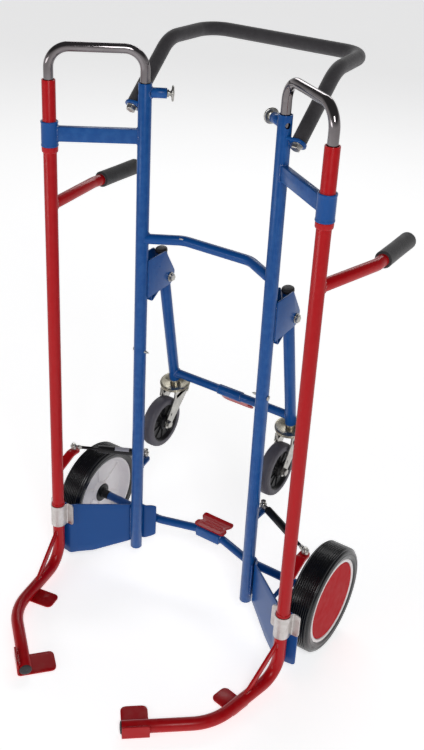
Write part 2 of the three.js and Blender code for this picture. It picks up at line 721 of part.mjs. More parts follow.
placePair(frame, 'upright', uprightTube(), blue, uprightAt(0));
place(frame, 'upper_crossbar', geometryOf(upperCrossbar()), blue());
place(frame, 'axle_tube', geometryOf(axleTube()), blue(), v3(0, wheel.y, wheel.radius));
place(frame, 'lower_pedal', geometryOf(lowerPedal()), red());
placePair(frame, 'base_plate', foldedBasePlate(), blue, uprightAt(0));
placePair(frame, 'top_arm', topArmBracket(), blue, uprightAt(topArm.z));
placePair(frame, 'castor_bracket', castorBracket(), blue, uprightAt(legPivot.z));
placePair(frame, 'pivot_strap', pivotStrap(), zinc, pivotAt(strap.foot));
place(frame, 'push_handle_tube', geometryOf(pushHandleTube()), blue());
place(frame, 'push_handle_foam', geometryOf(pushHandleFoam()), foam());
placePair(frame, 'handle_bolt', handleBolt(), zinc, handleFoot);
placePair(frame, 'castor_pivot_bolt', castorPivotBolt(), zinc, v3(leg.x, legPivot.y, legPivot.z));
placePair(frame, 'top_bow', chromeBow(), chrome, uprightAt(bow.topZ));
placePair(frame, 'bow_plunger', plungerPin(), zinc, plungerAt(0));
placePair(frame, 'tyre', tyre(), rubber, wheelCentre);
placePair(frame, 'wheel_rim', rim(), palePlastic, wheelCentre);
placePair(frame, 'hub_cap', hubCap(), red, wheelCentre);

placePair(arms, 'pivot_tube', pivotTube(), red, pivotAt(0));
placePair(arms, 'jaw_brace', jawBrace(), red, pivotAt(0));
placePair(arms, 'toe_plate', toePlate(), red, v3(jaw.tipX, jaw.tipY, 0));
placePair(arms, 'tyre_tab', tyreTab(), red, v3(tab.x, tab.y, 0));
placePair(arms, 'jaw_end_cap', jawEndCap(), foam, jawTip);
placePair(arms, 'side_handle', sideHandleTube(), red, pivotAt(sideHandle.z));
placePair(arms, 'side_grip', sideGrip(), foam, sideHandleRoute[2]);
placePair(arms, 'spring_lever', springLever(), red, pivotAt(leverTop));
placePair(arms, 'gas_spring_body', springBody(), foam, springLug);
placePair(arms, 'gas_spring_rod', springRod(), zinc, springBall);

place(support, 'castor_frame', geometryOf(castorFrame()), blue());
place(support, 'castor_pedal', geometryOf(castorPedal()), red());
placePair(support, 'leg_cap', legCap(), foam, legTop);

for (const [sideName, side] of [['right', 1], ['left', -1]]) {
  const assembly = new THREE.Group();
  assembly.position.copy(legFoot).addScaledVector(legAxis, -castor.collar);
  assembly.position.x *= side;
  assembly.rotation.x = legTilt;
  place(assembly, `${sideName}_castor_fork`, geometryOf(castorFork()), zinc());
  place(assembly, `${sideName}_castor_wheel`, geometryOf(castorWheel()), greyRubber(), castorAxle);
  support.add(assembly);
}

export default truck;
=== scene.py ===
import json
import math
import random

import bmesh
import bpy
from mathutils import Matrix, Vector
from mathutils.geometry import tessellate_polygon


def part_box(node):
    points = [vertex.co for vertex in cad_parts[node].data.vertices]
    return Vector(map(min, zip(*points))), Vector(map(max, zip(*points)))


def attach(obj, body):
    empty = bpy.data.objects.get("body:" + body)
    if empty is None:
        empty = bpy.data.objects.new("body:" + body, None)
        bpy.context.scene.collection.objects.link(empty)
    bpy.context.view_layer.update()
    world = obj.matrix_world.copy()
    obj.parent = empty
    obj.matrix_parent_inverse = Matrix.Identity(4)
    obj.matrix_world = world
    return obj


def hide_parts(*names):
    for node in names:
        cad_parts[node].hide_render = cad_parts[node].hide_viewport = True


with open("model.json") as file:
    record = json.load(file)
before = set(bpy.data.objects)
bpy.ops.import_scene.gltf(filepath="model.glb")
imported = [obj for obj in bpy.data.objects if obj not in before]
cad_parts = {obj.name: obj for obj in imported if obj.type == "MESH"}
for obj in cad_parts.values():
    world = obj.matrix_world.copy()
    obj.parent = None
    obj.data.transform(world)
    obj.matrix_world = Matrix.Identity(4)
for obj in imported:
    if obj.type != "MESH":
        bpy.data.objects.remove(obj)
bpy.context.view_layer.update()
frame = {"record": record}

# Every size below is in millimetres, with y measured from the plane of the two uprights. piece() turns
# a finished shell into metres and puts it in the frame. Shapes are drawn for the right-hand side.

MM = 0.001
TUBE = 14.0
TUBE_BORE = 11.7
UPRIGHT_X, UPRIGHT_FOOT, UPRIGHT_TOP = 160.0, 65.0, 1222.0
BOW = 10.0
BOW_TOP = 1288.0
JAW_Z = 18.3
X, Y, Z = Vector((1, 0, 0)), Vector((0, 1, 0)), Vector((0, 0, 1))

JOINTS = {joint["name"]: joint for joint in frame["record"]["behaviour"]["joints"]}
PLANE_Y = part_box("right_top_bow")[1][1] / MM - BOW


def joint_place(name):
    """A hinge's point, in the millimetres used here."""
    x, y, z = (value / MM for value in JOINTS[name]["pos_m"])
    return Vector((x, y - PLANE_Y, z))


PIVOT = joint_place("right_arm_swing")
WHEEL = joint_place("right_wheel_spin")
FOLD = joint_place("castor_support_fold")
SWIVEL = joint_place("right_castor_swivel_turn")
SWIVEL_AXIS = Vector(JOINTS["right_castor_swivel_turn"]["axis"])
CASTOR = joint_place("right_castor_roll")
SPRING_LUG = joint_place("right_spring_yaw")
SPRING_AXIS = Vector(JOINTS["right_spring_stroke"]["axis"])
SPRING_LENGTH = 175.3
SPRING_BALL = SPRING_LUG + SPRING_AXIS * SPRING_LENGTH
PLUNGER_AXIS = Vector(JOINTS["right_plunger_pull"]["axis"])
PLUNGER_Z = 1203.0

# ---------------------------------------------------------------- shells: (vertices, faces)


def joined(*shells):
    verts, faces = [], []
    for shell_verts, shell_faces in shells:
        start = len(verts)
        verts += list(shell_verts)
        faces += [[start + i for i in face] for face in shell_faces]
    return verts, faces


def mirror(point):
    return Vector((-point.x, point.y, point.z))


def mirrored(shell):
    verts, faces = shell
    return [mirror(v) for v in verts], [face[::-1] for face in faces]


def moved(shell, matrix):
    verts, faces = shell
    return [matrix @ v for v in verts], faces


def full_turn(count, phase=0.0):
    """Evenly spaced angles all the way round."""
    return [2 * math.pi * (k + phase) / count for k in range(count)]


def arc(start, stop, step):
    """Angles in radians, from whole degrees."""
    return [math.radians(degrees) for degrees in range(start, stop, step)]


def around(centre, radius, side, over, angles):
    """Points on a circle, at the given angles from side towards over."""
    return [Vector(centre) + (side * math.cos(a) + over * math.sin(a)) * radius for a in angles]


def skin(rings, loop=False):
    """Quads between rings of points, with flat ends unless the rings close in a loop."""
    count = len(rings[0])
    verts = [point for ring in rings for point in ring]
    faces = []
    steps = len(rings) if loop else len(rings) - 1
    for i in range(steps):
        here, there = i * count, ((i + 1) % len(rings)) * count
        for k in range(count):
            j = (k + 1) % count
            faces.append([here + k, here + j, there + j, there + k])
    if not loop:
        faces.append(list(range(count))[::-1])
        faces.append([(len(rings) - 1) * count + k for k in range(count)])
    return verts, faces


def route(corners, bends, degrees=5):
    """Points and directions along straight runs, with each inner corner rounded by its bend radius."""
    corners = [Vector(corner) for corner in corners]
    runs = [(b - a).normalized() for a, b in zip(corners, corners[1:])]
    stations = [(corners[0], runs[0])]
    for corner, radius, before, after in zip(corners[1:], bends, runs, runs[1:]):
        turn = before.angle(after)
        normal = before.cross(after).normalized()
        start = corner - before * radius * math.tan(turn / 2)
        centre = start + normal.cross(before) * radius
        steps = max(3, math.ceil(math.degrees(turn) / degrees))
        for k in range(steps + 1):
            spin = Matrix.Rotation(turn * k / steps, 3, normal)
            stations.append((centre + spin @ (start - centre), spin @ before))
    stations.append((corners[-1], runs[-1]))
    return stations


def sections(stations):
    """Adds two side directions to each station, carried along the route without twist."""
    side = X if abs(stations[0][1].x) < 0.9 else Y
    result = []
    for point, ahead in stations:
        side = (side - ahead * side.dot(ahead)).normalized()
        result.append((point, ahead, side, ahead.cross(side)))
    return result


def ring(section, offset, radius, sides):
    point, ahead, side, over = section
    return around(point + ahead * offset, radius, side, over, full_turn(sides))


def tube(corners, radius, bends=(), bore=0, depth=40, edge=0.8, sides=32, dome=(0, 0)):
    """A bent tube. With a bore each end is open to that depth; a dome rounds a solid end outwards."""
    frames = sections(route(corners, bends))

    def end(domed):
        if bore:
            return [(depth, bore), (edge, bore), (0.15, bore + 0.3), (0, (bore + radius) / 2),
                    (0.15, radius - 0.5), (edge, radius)]
        if domed:
            rise = [math.radians(a) for a in (2, 20, 40, 60, 80)]
            return [(domed * (1 - math.cos(a)), radius * math.sin(a)) for a in rise] + [(domed, radius)]
        return [(0, radius - edge), (edge * 0.3, radius - edge * 0.3), (edge, radius)]

    rings = [ring(frames[0], offset, r, sides) for offset, r in end(dome[0])]
    rings += [ring(frame_at, 0, radius, sides) for frame_at in frames[1:-1]]
    rings += [ring(frames[-1], -offset, r, sides) for offset, r in reversed(end(dome[1]))]
    return skin(rings)


def softened(profile, radius, loop):
    """Rounds each corner of a profile with a short curve."""
    count = len(profile)
    points = []
    for i, corner in enumerate(profile):
        if not loop and i in (0, count - 1):
            points.append(corner)
            continue
        here = Vector(corner)
        before = Vector(profile[i - 1]) - here
        after = Vector(profile[(i + 1) % count]) - here
        reach = min(radius, before.length * 0.45, after.length * 0.45)
        start, end = here + before.normalized() * reach, here + after.normalized() * reach
        for t in (0, 0.5, 1):
            points.append(tuple(start * (1 - t) ** 2 + here * 2 * t * (1 - t) + end * t * t))
    return points


def turned(profile, centre, axis, sides=64, soft=0.6, loop=False):
    """A turned piece. The profile's points are (distance along the axis, radius)."""
    axis = Vector(axis).normalized()
    section = sections([(Vector(centre), axis)])[0]
    points = softened(profile, soft, loop) if soft else profile
    return skin([ring(section, along, max(radius, 0.05), sides) for along, radius in points], loop)


def both_sides(side, middle=()):
    """A profile that is the same on both sides: one side, the middle and the side's mirror image."""
    return side + list(middle) + [(-along, radius) for along, radius in reversed(side)]


def rounded(corners, steps=5):
    """A flat outline with rounded corners. Each corner is (x, y) or (x, y, radius)."""
    points = []
    count = len(corners)
    for i, corner in enumerate(corners):
        here = Vector(corner[:2])
        radius = corner[2] if len(corner) > 2 else 0
        if not radius:
            points.append(here)
            continue
        before = (Vector(corners[i - 1][:2]) - here).normalized()
        after = (Vector(corners[(i + 1) % count][:2]) - here).normalized()
        half = before.angle(after) / 2
        centre = here + (before + after).normalized() * radius / math.sin(half)
        start = here + before * radius / math.tan(half) - centre
        end = here + after * radius / math.tan(half) - centre
        sweep = start.angle_signed(end)
        for k in range(steps + 1):
            points.append(centre + Matrix.Rotation(-sweep * k / steps, 2) @ start)
    return points


def bevelled(shell, width, segments=2, angle=30):
    """The shell with its sharp edges rounded."""
    mesh = bmesh.new()
    verts = [mesh.verts.new(v) for v in shell[0]]
    for face in shell[1]:
        mesh.faces.new([verts[i] for i in face])
    bmesh.ops.recalc_face_normals(mesh, faces=mesh.faces)
    limit = math.radians(angle)
    sharp = [e for e in mesh.edges if e.is_manifold and e.calc_face_angle() > limit]
    bmesh.ops.bevel(mesh, geom=sharp, offset=width, segments=segments, profile=0.5, affect="EDGES",
                    clamp_overlap=True)
    bmesh.ops.remove_doubles(mesh, verts=mesh.verts, dist=1e-4)
    mesh.verts.index_update()
    result = [v.co.copy() for v in mesh.verts], [[v.index for v in f.verts] for f in mesh.faces]
    mesh.free()
    return result


def plate(outline, thickness, middle, across, up, holes=(), edge=0.7):
    """A flat sheet: an outline drawn along across and up, thickened to both sides of its middle."""
    middle, out = Vector(middle), across.cross(up)
    loops = [list(outline)] + [list(hole) for hole in holes]
    flat = [point for loop in loops for point in loop]
    verts = []
    for side in (-0.5, 0.5):
        verts += [middle + across * p[0] + up * p[1] + out * (side * thickness) for p in flat]
    count = len(flat)
    if holes:
        triangles = tessellate_polygon([[Vector((p[0], p[1], 0)) for p in loop] for loop in loops])
        faces = [list(t) for t in triangles] + [[i + count for i in reversed(t)] for t in triangles]
    else:
        faces = [list(range(count))[::-1], list(range(count, 2 * count))]
    start = 0
    for loop in loops:
        for k in range(len(loop)):
            a, b = start + k, start + (k + 1) % len(loop)
            faces.append([a, b, b + count, a + count])
        start += len(loop)
    return bevelled((verts, faces), edge)


def spokes(outline, thickness, centre, count, edge, phase=0.0):
    """Flat ribs round an axle along X. The outline is (distance from the axle, distance along it)."""
    outwards = around((0, 0, 0), 1, Y, Z, full_turn(count, phase))
    return [plate(outline, thickness, centre, outward, X, edge=edge) for outward in outwards]


def strip(path, width_at, thickness, middle, a_axis, b_axis, out_axis, edge=0.7, rows=4):
    """A bent sheet. The path runs in the plane of a_axis and b_axis, and width_at(point) gives the
    sheet's two limits along out_axis there."""
    middle, last = Vector(middle), len(path) - 1
    rings = []
    for i, point in enumerate(path):
        before = (point - path[i - 1]).normalized() if i else None
        after = (path[i + 1] - point).normalized() if i < last else None
        along = ((before or after) + (after or before)).normalized()
        normal = Vector((-along.y, along.x)) * (thickness / 2)
        low, high = width_at(point)
        line = []
        for side in (1, -1):
            edge_point = point + normal * side
            spots = [low + (high - low) * k / rows for k in range(rows + 1)][::side]
            line += [middle + a_axis * edge_point.x + b_axis * edge_point.y + out_axis * s for s in spots]
        rings.append(line)
    return bevelled(skin(rings), edge)


def flat_route(corners, bends, step):
    """A flat path with rounded corners and evenly close points."""
    stations = route([(x, y, 0) for x, y in corners], bends)
    points = [stations[0][0].to_2d()]
    for (a, _), (b, _) in zip(stations, stations[1:]):
        gap = (b - a).length
        if gap < 1e-4:
            continue
        for k in range(1, max(1, round(gap / step)) + 1):
            points.append(a.lerp(b, k / max(1, round(gap / step))).to_2d())
    return points


def bead(points, radius, seed, loop=True):
    """A weld bead: a rippled, slightly uneven strand that follows the points."""
    rng = random.Random(seed)
    dense = []
    pairs = zip(points, points[1:] + points[:1]) if loop else zip(points, points[1:])
    for a, b in pairs:
        steps = max(1, round((b - a).length / 1.1))
        dense += [a.lerp(b, k / steps) for k in range(steps)]
    if not loop:
        dense.append(points[-1])
    count = len(dense)
    rings = []
    for i, point in enumerate(dense):
        before, after = (i - 1, (i + 1) % count) if loop else (max(i - 1, 0), min(i + 1, count - 1))
        ahead = (dense[after] - dense[before]).normalized()
        side = ahead.cross(Z if abs(ahead.z) < 0.9 else X).normalized()
        swell = 1 + 0.16 * math.sin(i * 2.4) + rng.uniform(-0.08, 0.08)
        if not loop:
            swell *= min(1, 0.35 + 0.4 * min(i, count - 1 - i))
        rings.append(ring((point, ahead, side, ahead.cross(side)), 0, radius * swell, 8))
    return skin(rings, loop)


def seam(origin, along, spots, radius, seed):
    """A straight weld bead through the given distances along a line."""
    return bead([Vector(origin) + along * spot for spot in spots], radius, seed, loop=False)


def saddle(main, main_axis, main_radius, branch, branch_axis, branch_radius, count=40):
    """The loop where a branch tube meets the surface of a main tube. The branch axis points away from it."""
    main_axis, branch_axis = Vector(main_axis).normalized(), Vector(branch_axis).normalized()
    side = branch_axis.cross(main_axis).normalized()
    over = branch_axis.cross(side)
    flat = branch_axis - main_axis * branch_axis.dot(main_axis)
    points = []
    for outer in around(branch, branch_radius, side, over, full_turn(count)):
        start = outer - Vector(main)
        start -= main_axis * start.dot(main_axis)
        b, c = start.dot(flat), start.length_squared - main_radius ** 2
        reach = (-b + math.sqrt(max(b * b - flat.length_squared * c, 0))) / flat.length_squared
        points.append(outer + branch_axis * reach)
    return points


def hex_head(centre, axis, flats, height, washer):
    """A hexagon head with chamfered corners, on a washer, standing on centre and facing along axis."""
    section = sections([(Vector(centre), Vector(axis).normalized())])[0]
    corner, thickness = flats / math.sqrt(3), 1.8
    rings = [ring(section, thickness, corner * 0.97, 6), ring(section, thickness + 0.4, corner, 6),
             ring(section, height - 1.2, corner, 6), ring(section, height, corner * 0.86, 6)]
    dish = [(height - 0.3, 0), (height - 0.3, corner * 0.8), (height + 0.25, corner * 0.62),
            (height + 0.1, corner * 0.5), (height + 0.3, 0)]
    disc = [(0, 0), (0, washer), (thickness, washer), (thickness, 0)]
    return joined(turned(disc, centre, axis, 40, 0.4), bevelled(skin(rings), 0.35),
                  turned(dish, centre, axis, 32, 0.2))


# ---------------------------------------------------------------- materials


def linear(red, green, blue):
    """A colour as linear light, from the 0 to 255 values that a screen shows."""
    return tuple((c / 255 / 12.92) if c < 11 else ((c / 255 + 0.055) / 1.055) ** 2.4
                 for c in (red, green, blue)) + (1,)


class Finish:
    """A node material on the Principled shader, with short calls for the nodes used here."""

    def __init__(self, name, **constants):
        self.material = bpy.data.materials.new(name)
        self.material.use_nodes = True
        self.tree = self.material.node_tree
        self.shader = self.tree.nodes["Principled BSDF"]
        for key, value in constants.items():
            self.shader.inputs[key.replace("_", " ")].default_value = value
        self.place = self.node("ShaderNodeTexCoord").outputs["Object"]
        self.height = None

    def node(self, kind, **inputs):
        made = self.tree.nodes.new(kind)
        for key, value in inputs.items():
            self.link(made.inputs[key.replace("_", " ")], value)
        return made

    def link(self, socket, value):
        if isinstance(value, bpy.types.NodeSocket):
            self.tree.links.new(value, socket)
        else:
            socket.default_value = value

    def noise(self, scale, detail=3.0, rough=0.55, stretch=None):
        place = self.place
        if stretch:
            mapping = self.node("ShaderNodeMapping", Vector=place)
            mapping.inputs["Scale"].default_value = stretch
            place = mapping.outputs[0]
        return self.node("ShaderNodeTexNoise", Vector=place, Scale=scale, Detail=detail,
                         Roughness=rough).outputs[0]

    def cells(self, scale):
        return self.node("ShaderNodeTexVoronoi", Vector=self.place, Scale=scale).outputs["Distance"]

    def ramp(self, value, low, high, out_low=0.0, out_high=1.0):
        made = self.node("ShaderNodeMapRange", Value=value)
        for key, number in (("From Min", low), ("From Max", high), ("To Min", out_low),
                            ("To Max", out_high)):
            made.inputs[key].default_value = number
        return made.outputs[0]

    def times(self, a, b, kind="MULTIPLY"):
        made = self.node("ShaderNodeMath")
        made.operation = kind
        self.link(made.inputs[0], a)
        self.link(made.inputs[1], b)
        return made.outputs[0]

    def mix(self, share, a, b):
        """A blend of two colours, each a socket or the 0 to 255 values that a screen shows."""
        made = self.node("ShaderNodeMix")
        made.data_type = "RGBA"
        self.link(made.inputs[0], share)
        for socket, colour in ((6, a), (7, b)):
            self.link(made.inputs[socket], linear(*colour) if isinstance(colour, tuple) else colour)
        return made.outputs[2]

    def edges(self, low=0.53, high=0.6):
        """1 on edges that stick out; with low above high, 1 in hollows."""
        return self.ramp(self.node("ShaderNodeNewGeometry").outputs["Pointiness"], low, high)

    def above_floor(self):
        return self.node("ShaderNodeSeparateXYZ", Vector=self.place).outputs["Z"]

    def bump(self, height, distance, strength):
        made = self.node("ShaderNodeBump", Height=height, Strength=strength, Distance=distance)
        if self.height:
            self.link(made.inputs["Normal"], self.height)
        self.height = made.outputs[0]
        self.tree.links.new(self.height, self.shader.inputs["Normal"])

    def colour(self, socket):
        self.tree.links.new(socket, self.shader.inputs["Base Color"])

    def roughness(self, socket):
        self.tree.links.new(socket, self.shader.inputs["Roughness"])


def powder_coat(name, base, shade, wear_and_glint):
    """Glossy powder coat: orange peel, faint clouds, thinner and lighter on edges, dusty near the floor."""
    m = Finish(name, Coat_Weight=0.04, Coat_Roughness=0.1, Specular_IOR_Level=0.25)
    cloud = m.ramp(m.noise(5, 3), 0.2, 0.8)
    body = m.mix(cloud, shade, base)
    thin = m.times(m.edges(), m.ramp(m.noise(70, 4), 0.42, 0.62))
    body = m.mix(m.times(thin, 0.3), body, wear_and_glint)
    scuffs = m.times(m.ramp(m.noise(160, 5, 0.7, (1, 1, 0.12)), 0.68, 0.73), m.ramp(m.noise(14), 0.52, 0.62))
    body = m.mix(m.times(scuffs, 0.2), body, wear_and_glint)
    dust = m.times(m.ramp(m.above_floor(), 0.05, 0.0), m.ramp(m.noise(45, 5), 0.45, 0.8))
    body = m.mix(m.times(dust, 0.12), body, (150, 140, 128))
    m.colour(body)
    m.roughness(m.times(m.ramp(m.noise(9, 3), 0.2, 0.8, 0.27, 0.3), m.times(dust, 0.2), "ADD"))
    m.bump(m.noise(420, 2, 0.5), 0.00003, 0.2)
    return m.material


def weld_coat(name, base, wear_and_glint):
    """The same paint over a weld bead: thicker, glossier, with pale painted glints scattered over it by
    noise.
    """
    m = Finish(name, Coat_Weight=0.4, Coat_Roughness=0.08)
    # Painted glints: pale flecks mixed into the colour, standing in for highlights on the bead.
    painted_glints = m.ramp(m.noise(330, 3), 0.62, 0.68)
    m.colour(m.mix(m.times(painted_glints, 0.75), base, wear_and_glint))
    m.roughness(m.ramp(m.noise(90), 0.3, 0.7, 0.2, 0.34))
    m.bump(m.noise(520, 3), 0.0004, 0.5)
    return m.material


def zinc(name, base, tint, roughness=0.3):
    """Zinc plate: cloudy passivation, fine draw lines, a little dulling."""
    m = Finish(name, Metallic=1.0)
    cloud = m.ramp(m.noise(55, 5, 0.6), 0.35, 0.65)
    body = m.mix(cloud, base, tint)
    spots = m.ramp(m.noise(380, 3), 0.6, 0.75)
    m.colour(m.mix(m.times(spots, 0.35), body, (110, 104, 92)))
    m.roughness(m.ramp(m.noise(120, 4), 0.3, 0.7, roughness - 0.07, roughness + 0.12))
    m.bump(m.noise(700, 3), 0.00008, 0.4)
    return m.material


def chrome(name):
    """Bright chrome plate with faint draw marks along the tube and soft finger smudges."""
    m = Finish(name, Metallic=1.0)
    m.colour(m.mix(m.ramp(m.noise(14, 4), 0.35, 0.7), (134, 129, 131), (112, 106, 107)))
    smudge = m.ramp(m.noise(24, 5, 0.65), 0.5, 0.75, 0.0, 0.1)
    m.roughness(m.times(smudge, m.ramp(m.noise(300, 2), 0.3, 0.7, 0.05, 0.09), "ADD"))
    m.bump(m.noise(200, 2, 0.5, (1, 1, 0.1)), 0.00003, 0.25)
    return m.material


def soft_foam(name, base, shade, grain, depth):
    """Closed-cell foam: a pebbled, dry surface with fine open pores."""
    m = Finish(name, Sheen_Weight=0.25, Sheen_Roughness=0.6)
    cloud = m.ramp(m.noise(30, 5), 0.3, 0.7)
    pores = m.ramp(m.cells(grain), 0.05, 0.45)
    body = m.mix(cloud, base, shade)
    m.colour(m.mix(m.times(pores, 0.3), shade, body))
    m.roughness(m.ramp(m.noise(80, 3), 0.3, 0.7, 0.72, 0.9))
    m.bump(pores, depth, 0.7)
    m.bump(m.noise(grain * 2.5, 3), depth * 0.5, 0.4)
    return m.material


def rubber(name, base, dust_colour, roughness):
    """Moulded rubber: satin, with dust in its grooves and on its shoulders."""
    m = Finish(name)
    hollow = m.times(m.edges(0.49, 0.44), 0.08, "ADD")
    dust = m.times(m.ramp(m.noise(60, 5, 0.65), 0.42, 0.72), hollow)
    m.colour(m.mix(m.times(dust, 0.4), base, dust_colour))
    m.roughness(m.times(m.ramp(m.noise(35, 4), 0.3, 0.7, roughness - 0.08, roughness + 0.08),
                        m.times(dust, 0.2), "ADD"))
    m.bump(m.noise(900, 3), 0.00006, 0.5)
    return m.material


def moulded(name, base, shade, roughness=0.45, shine=0.3, wear_and_glint=0.12):
    """Injection-moulded plastic: faint flow marks, fine texture, slight rub on edges."""
    m = Finish(name, Specular_IOR_Level=shine)
    body = m.mix(m.ramp(m.noise(12, 5, 0.6, (1, 1, 2)), 0.3, 0.7), base, shade)
    rub = m.times(m.edges(0.54, 0.62), m.ramp(m.noise(90, 4), 0.48, 0.62))
    m.colour(m.mix(m.times(rub, wear_and_glint), body, (190, 188, 186)))
    m.roughness(m.ramp(m.noise(50, 4), 0.3, 0.7, roughness - 0.08, roughness + 0.08))
    m.bump(m.noise(650, 2), 0.00003, 0.25)
    return m.material


def floor_paper(name):
    m = Finish(name, Roughness=0.85, Emission_Color=(1, 1, 1, 1), Emission_Strength=0.64)
    m.colour(m.mix(m.noise(2, 3), (238, 238, 238), (243, 243, 243)))
    m.bump(m.noise(250, 2), 0.0001, 0.1)
    return m.material


BLUE = powder_coat("blue_coat", (10, 78, 148), (8, 71, 138), (60, 118, 180))
RED = powder_coat("red_coat", (182, 4, 16), (172, 3, 14), (206, 62, 60))
# The last colour of each weld coat is the pale tone of its painted glints.
BLUE_WELD = weld_coat("blue_weld", (20, 74, 142), (214, 226, 240))
RED_WELD = weld_coat("red_weld", (172, 10, 20), (240, 186, 182))
ZINC = zinc("zinc_plate", (190, 188, 182), (168, 166, 162))
YELLOW_ZINC = zinc("yellow_zinc", (186, 181, 166), (166, 160, 144))
STRAP_ZINC = zinc("strap_zinc", (214, 210, 208), (198, 193, 190), 0.4)
CHROME = chrome("chrome_plate")
FOAM = soft_foam("handle_foam", (50, 47, 51), (38, 35, 39), 650, 0.0003)
GRIP = soft_foam("grip_foam", (38, 37, 39), (27, 26, 28), 420, 0.0005)
TYRE = rubber("tyre_rubber", (11, 12, 17), (34, 34, 40), 0.2)
TREAD = rubber("castor_tread", (84, 82, 90), (132, 130, 134), 0.55)
RIM = moulded("rim_plastic", (244, 240, 239), (236, 231, 231))
CORE = moulded("black_plastic", (22, 22, 24), (15, 15, 17), 0.36)
CAP = moulded("cap_plastic", (52, 50, 52), (40, 38, 40), 0.4)
HUB_RED = moulded("hub_red", (186, 3, 20), (180, 3, 18), 0.55, 0.08, 0.015)
LACQUER = moulded("black_lacquer", (26, 26, 28), (18, 18, 20), 0.28)
LABEL = moulded("plain_label", (168, 168, 176), (156, 156, 164), 0.5)
DARK_STEEL = zinc("dark_steel", (58, 57, 60), (44, 43, 46), 0.24)

# ---------------------------------------------------------------- pieces


def linked(name, data):
    """A new object for a mesh, a light or a camera, linked to the scene."""
    made = bpy.data.objects.new(name, data)
    bpy.context.scene.collection.objects.link(made)
    return made


def mesh_from(name, verts, faces):
    mesh = bpy.data.meshes.new(name)
    mesh.from_pydata(verts, [], faces)
    return mesh


def piece(name, shell, material, node, body="frame"):
    """Makes an object from a shell, puts it in the frame, parents it to its body's empty and hides its CAD
    node.
    """
    verts, faces = shell
    mesh = mesh_from(name, [(v.x * MM, (v.y + PLANE_Y) * MM, v.z * MM) for v in verts], faces)
    mesh.validate()
    tidy = bmesh.new()
    tidy.from_mesh(mesh)
    bmesh.ops.remove_doubles(tidy, verts=tidy.verts, dist=2e-6)
    bmesh.ops.recalc_face_normals(tidy, faces=tidy.faces)
    tidy.to_mesh(mesh)
    tidy.free()
    mesh.shade_smooth()
    mesh.set_sharp_from_angle(angle=math.radians(38))
    mesh.materials.append(material)
    made = linked(name, mesh)
    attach(made, body)
    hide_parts(node)
    return made


def pair(name, shell, material, node, body="frame"):
    """A right-hand piece and its mirror image. A body starting with _ is each side's own."""
    for side, own in (("right", shell), ("left", mirrored(shell))):
        own_body = side + body if body.startswith("_") else body
        piece(f"{side}_{name}", own, material, f"{side}_{node}", own_body)


def drilled(shell, holes):
    """The shell with round holes cut through it. Each hole is (from, to, radius)."""
    blank = linked("blank", mesh_from("blank", *shell))
    cutters = []
    for start, end, radius in holes:
        cutter = linked("cutter", mesh_from("cutter", *tube([start, end], radius, sides=24, edge=0.01)))
        cut = blank.modifiers.new("hole", "BOOLEAN")
        cut.operation, cut.solver, cut.object = "DIFFERENCE", "EXACT", cutter
        cutters.append(cutter)
    result = bpy.data.meshes.new_from_object(blank.evaluated_get(bpy.context.evaluated_depsgraph_get()))
    remains = [v.co.copy() for v in result.vertices], [list(f.vertices) for f in result.polygons]
    for made in [blank, *cutters]:
        bpy.data.objects.remove(made)
    return remains


def upright_at(z):
    return Vector((UPRIGHT_X, 0, z))


def pivot_at(z):
    return Vector((PIVOT.x, PIVOT.y, z))


def plunger_at(reach):
    return upright_at(PLUNGER_Z) + PLUNGER_AXIS * reach


def uprights():
    shell = tube([upright_at(UPRIGHT_FOOT), upright_at(UPRIGHT_TOP)], TUBE, bore=TUBE_BORE, depth=60)
    foot_plug = tube([upright_at(UPRIGHT_FOOT - 3), upright_at(UPRIGHT_FOOT + 4)], TUBE - 0.4, dome=(4, 0))
    shell = drilled(shell, [(plunger_at(-20), plunger_at(-4), 6.0), (plunger_at(4), plunger_at(20), 4.9)])
    boss = tube([plunger_at(12.5), plunger_at(44)], 10.5, bore=5, depth=14, sides=28)
    pair("upright_tube", joined(shell, foot_plug, boss), BLUE, "upright")

    lug_up = X.cross(HANDLE_AXIS).normalized() * -1
    lug = plate(rounded([(-20, -16), (17, -16, 15.9), (17, 16, 15.9), (-20, 16)]), 5, handle_at(9.5), X,
                lug_up)
    spring_plate = plate(rounded([(-12, 0), (12, 0), (13, 47, 9), (-4, 47, 8)]), 6,
                         (UPRIGHT_X, 0, SPRING_LUG.z - 15), X, Y)
    pair("upright_lugs", joined(lug, spring_plate), BLUE, "upright")

    beads = [bead(saddle(upright_at(0), Z, TUBE, plunger_at(0), PLUNGER_AXIS, 10.5), 1.7, 3)]
    for side in (-1, 1):
        middle = handle_at(9.5 + side * 3.2) - X * 16.5
        beads.append(seam(middle, lug_up, range(-12, 13, 3), 1.6, 5 + side))
        front = around(upright_at(SPRING_LUG.z - 15 + side * 3.5), TUBE, X, Y, arc(35, 146, 10))
        beads.append(bead(front, 1.5, 9 + side, loop=False))
    pair("upright_welds", joined(*beads), BLUE_WELD, "upright")

    stud = joined(
        turned([(-14, 0), (-14, 3), (8, 3), (8.5, 6), (11, 6), (12.5, 4), (12.5, 0)], SPRING_LUG, Z, 32),
        hex_head(SPRING_LUG - Z * 18, -Z, 11, 5, 7),
    )
    screw = joined(
        turned([(-26, 0), (-19, 3), (-13, 3.2), (13, 3.2), (14.2, 6), (15.6, 5.6), (17, 3.2), (17.3, 0)],
               upright_at(619), X, 28, 0.3),
    )
    pair("upright_hardware", joined(stud, screw), ZINC, "upright")


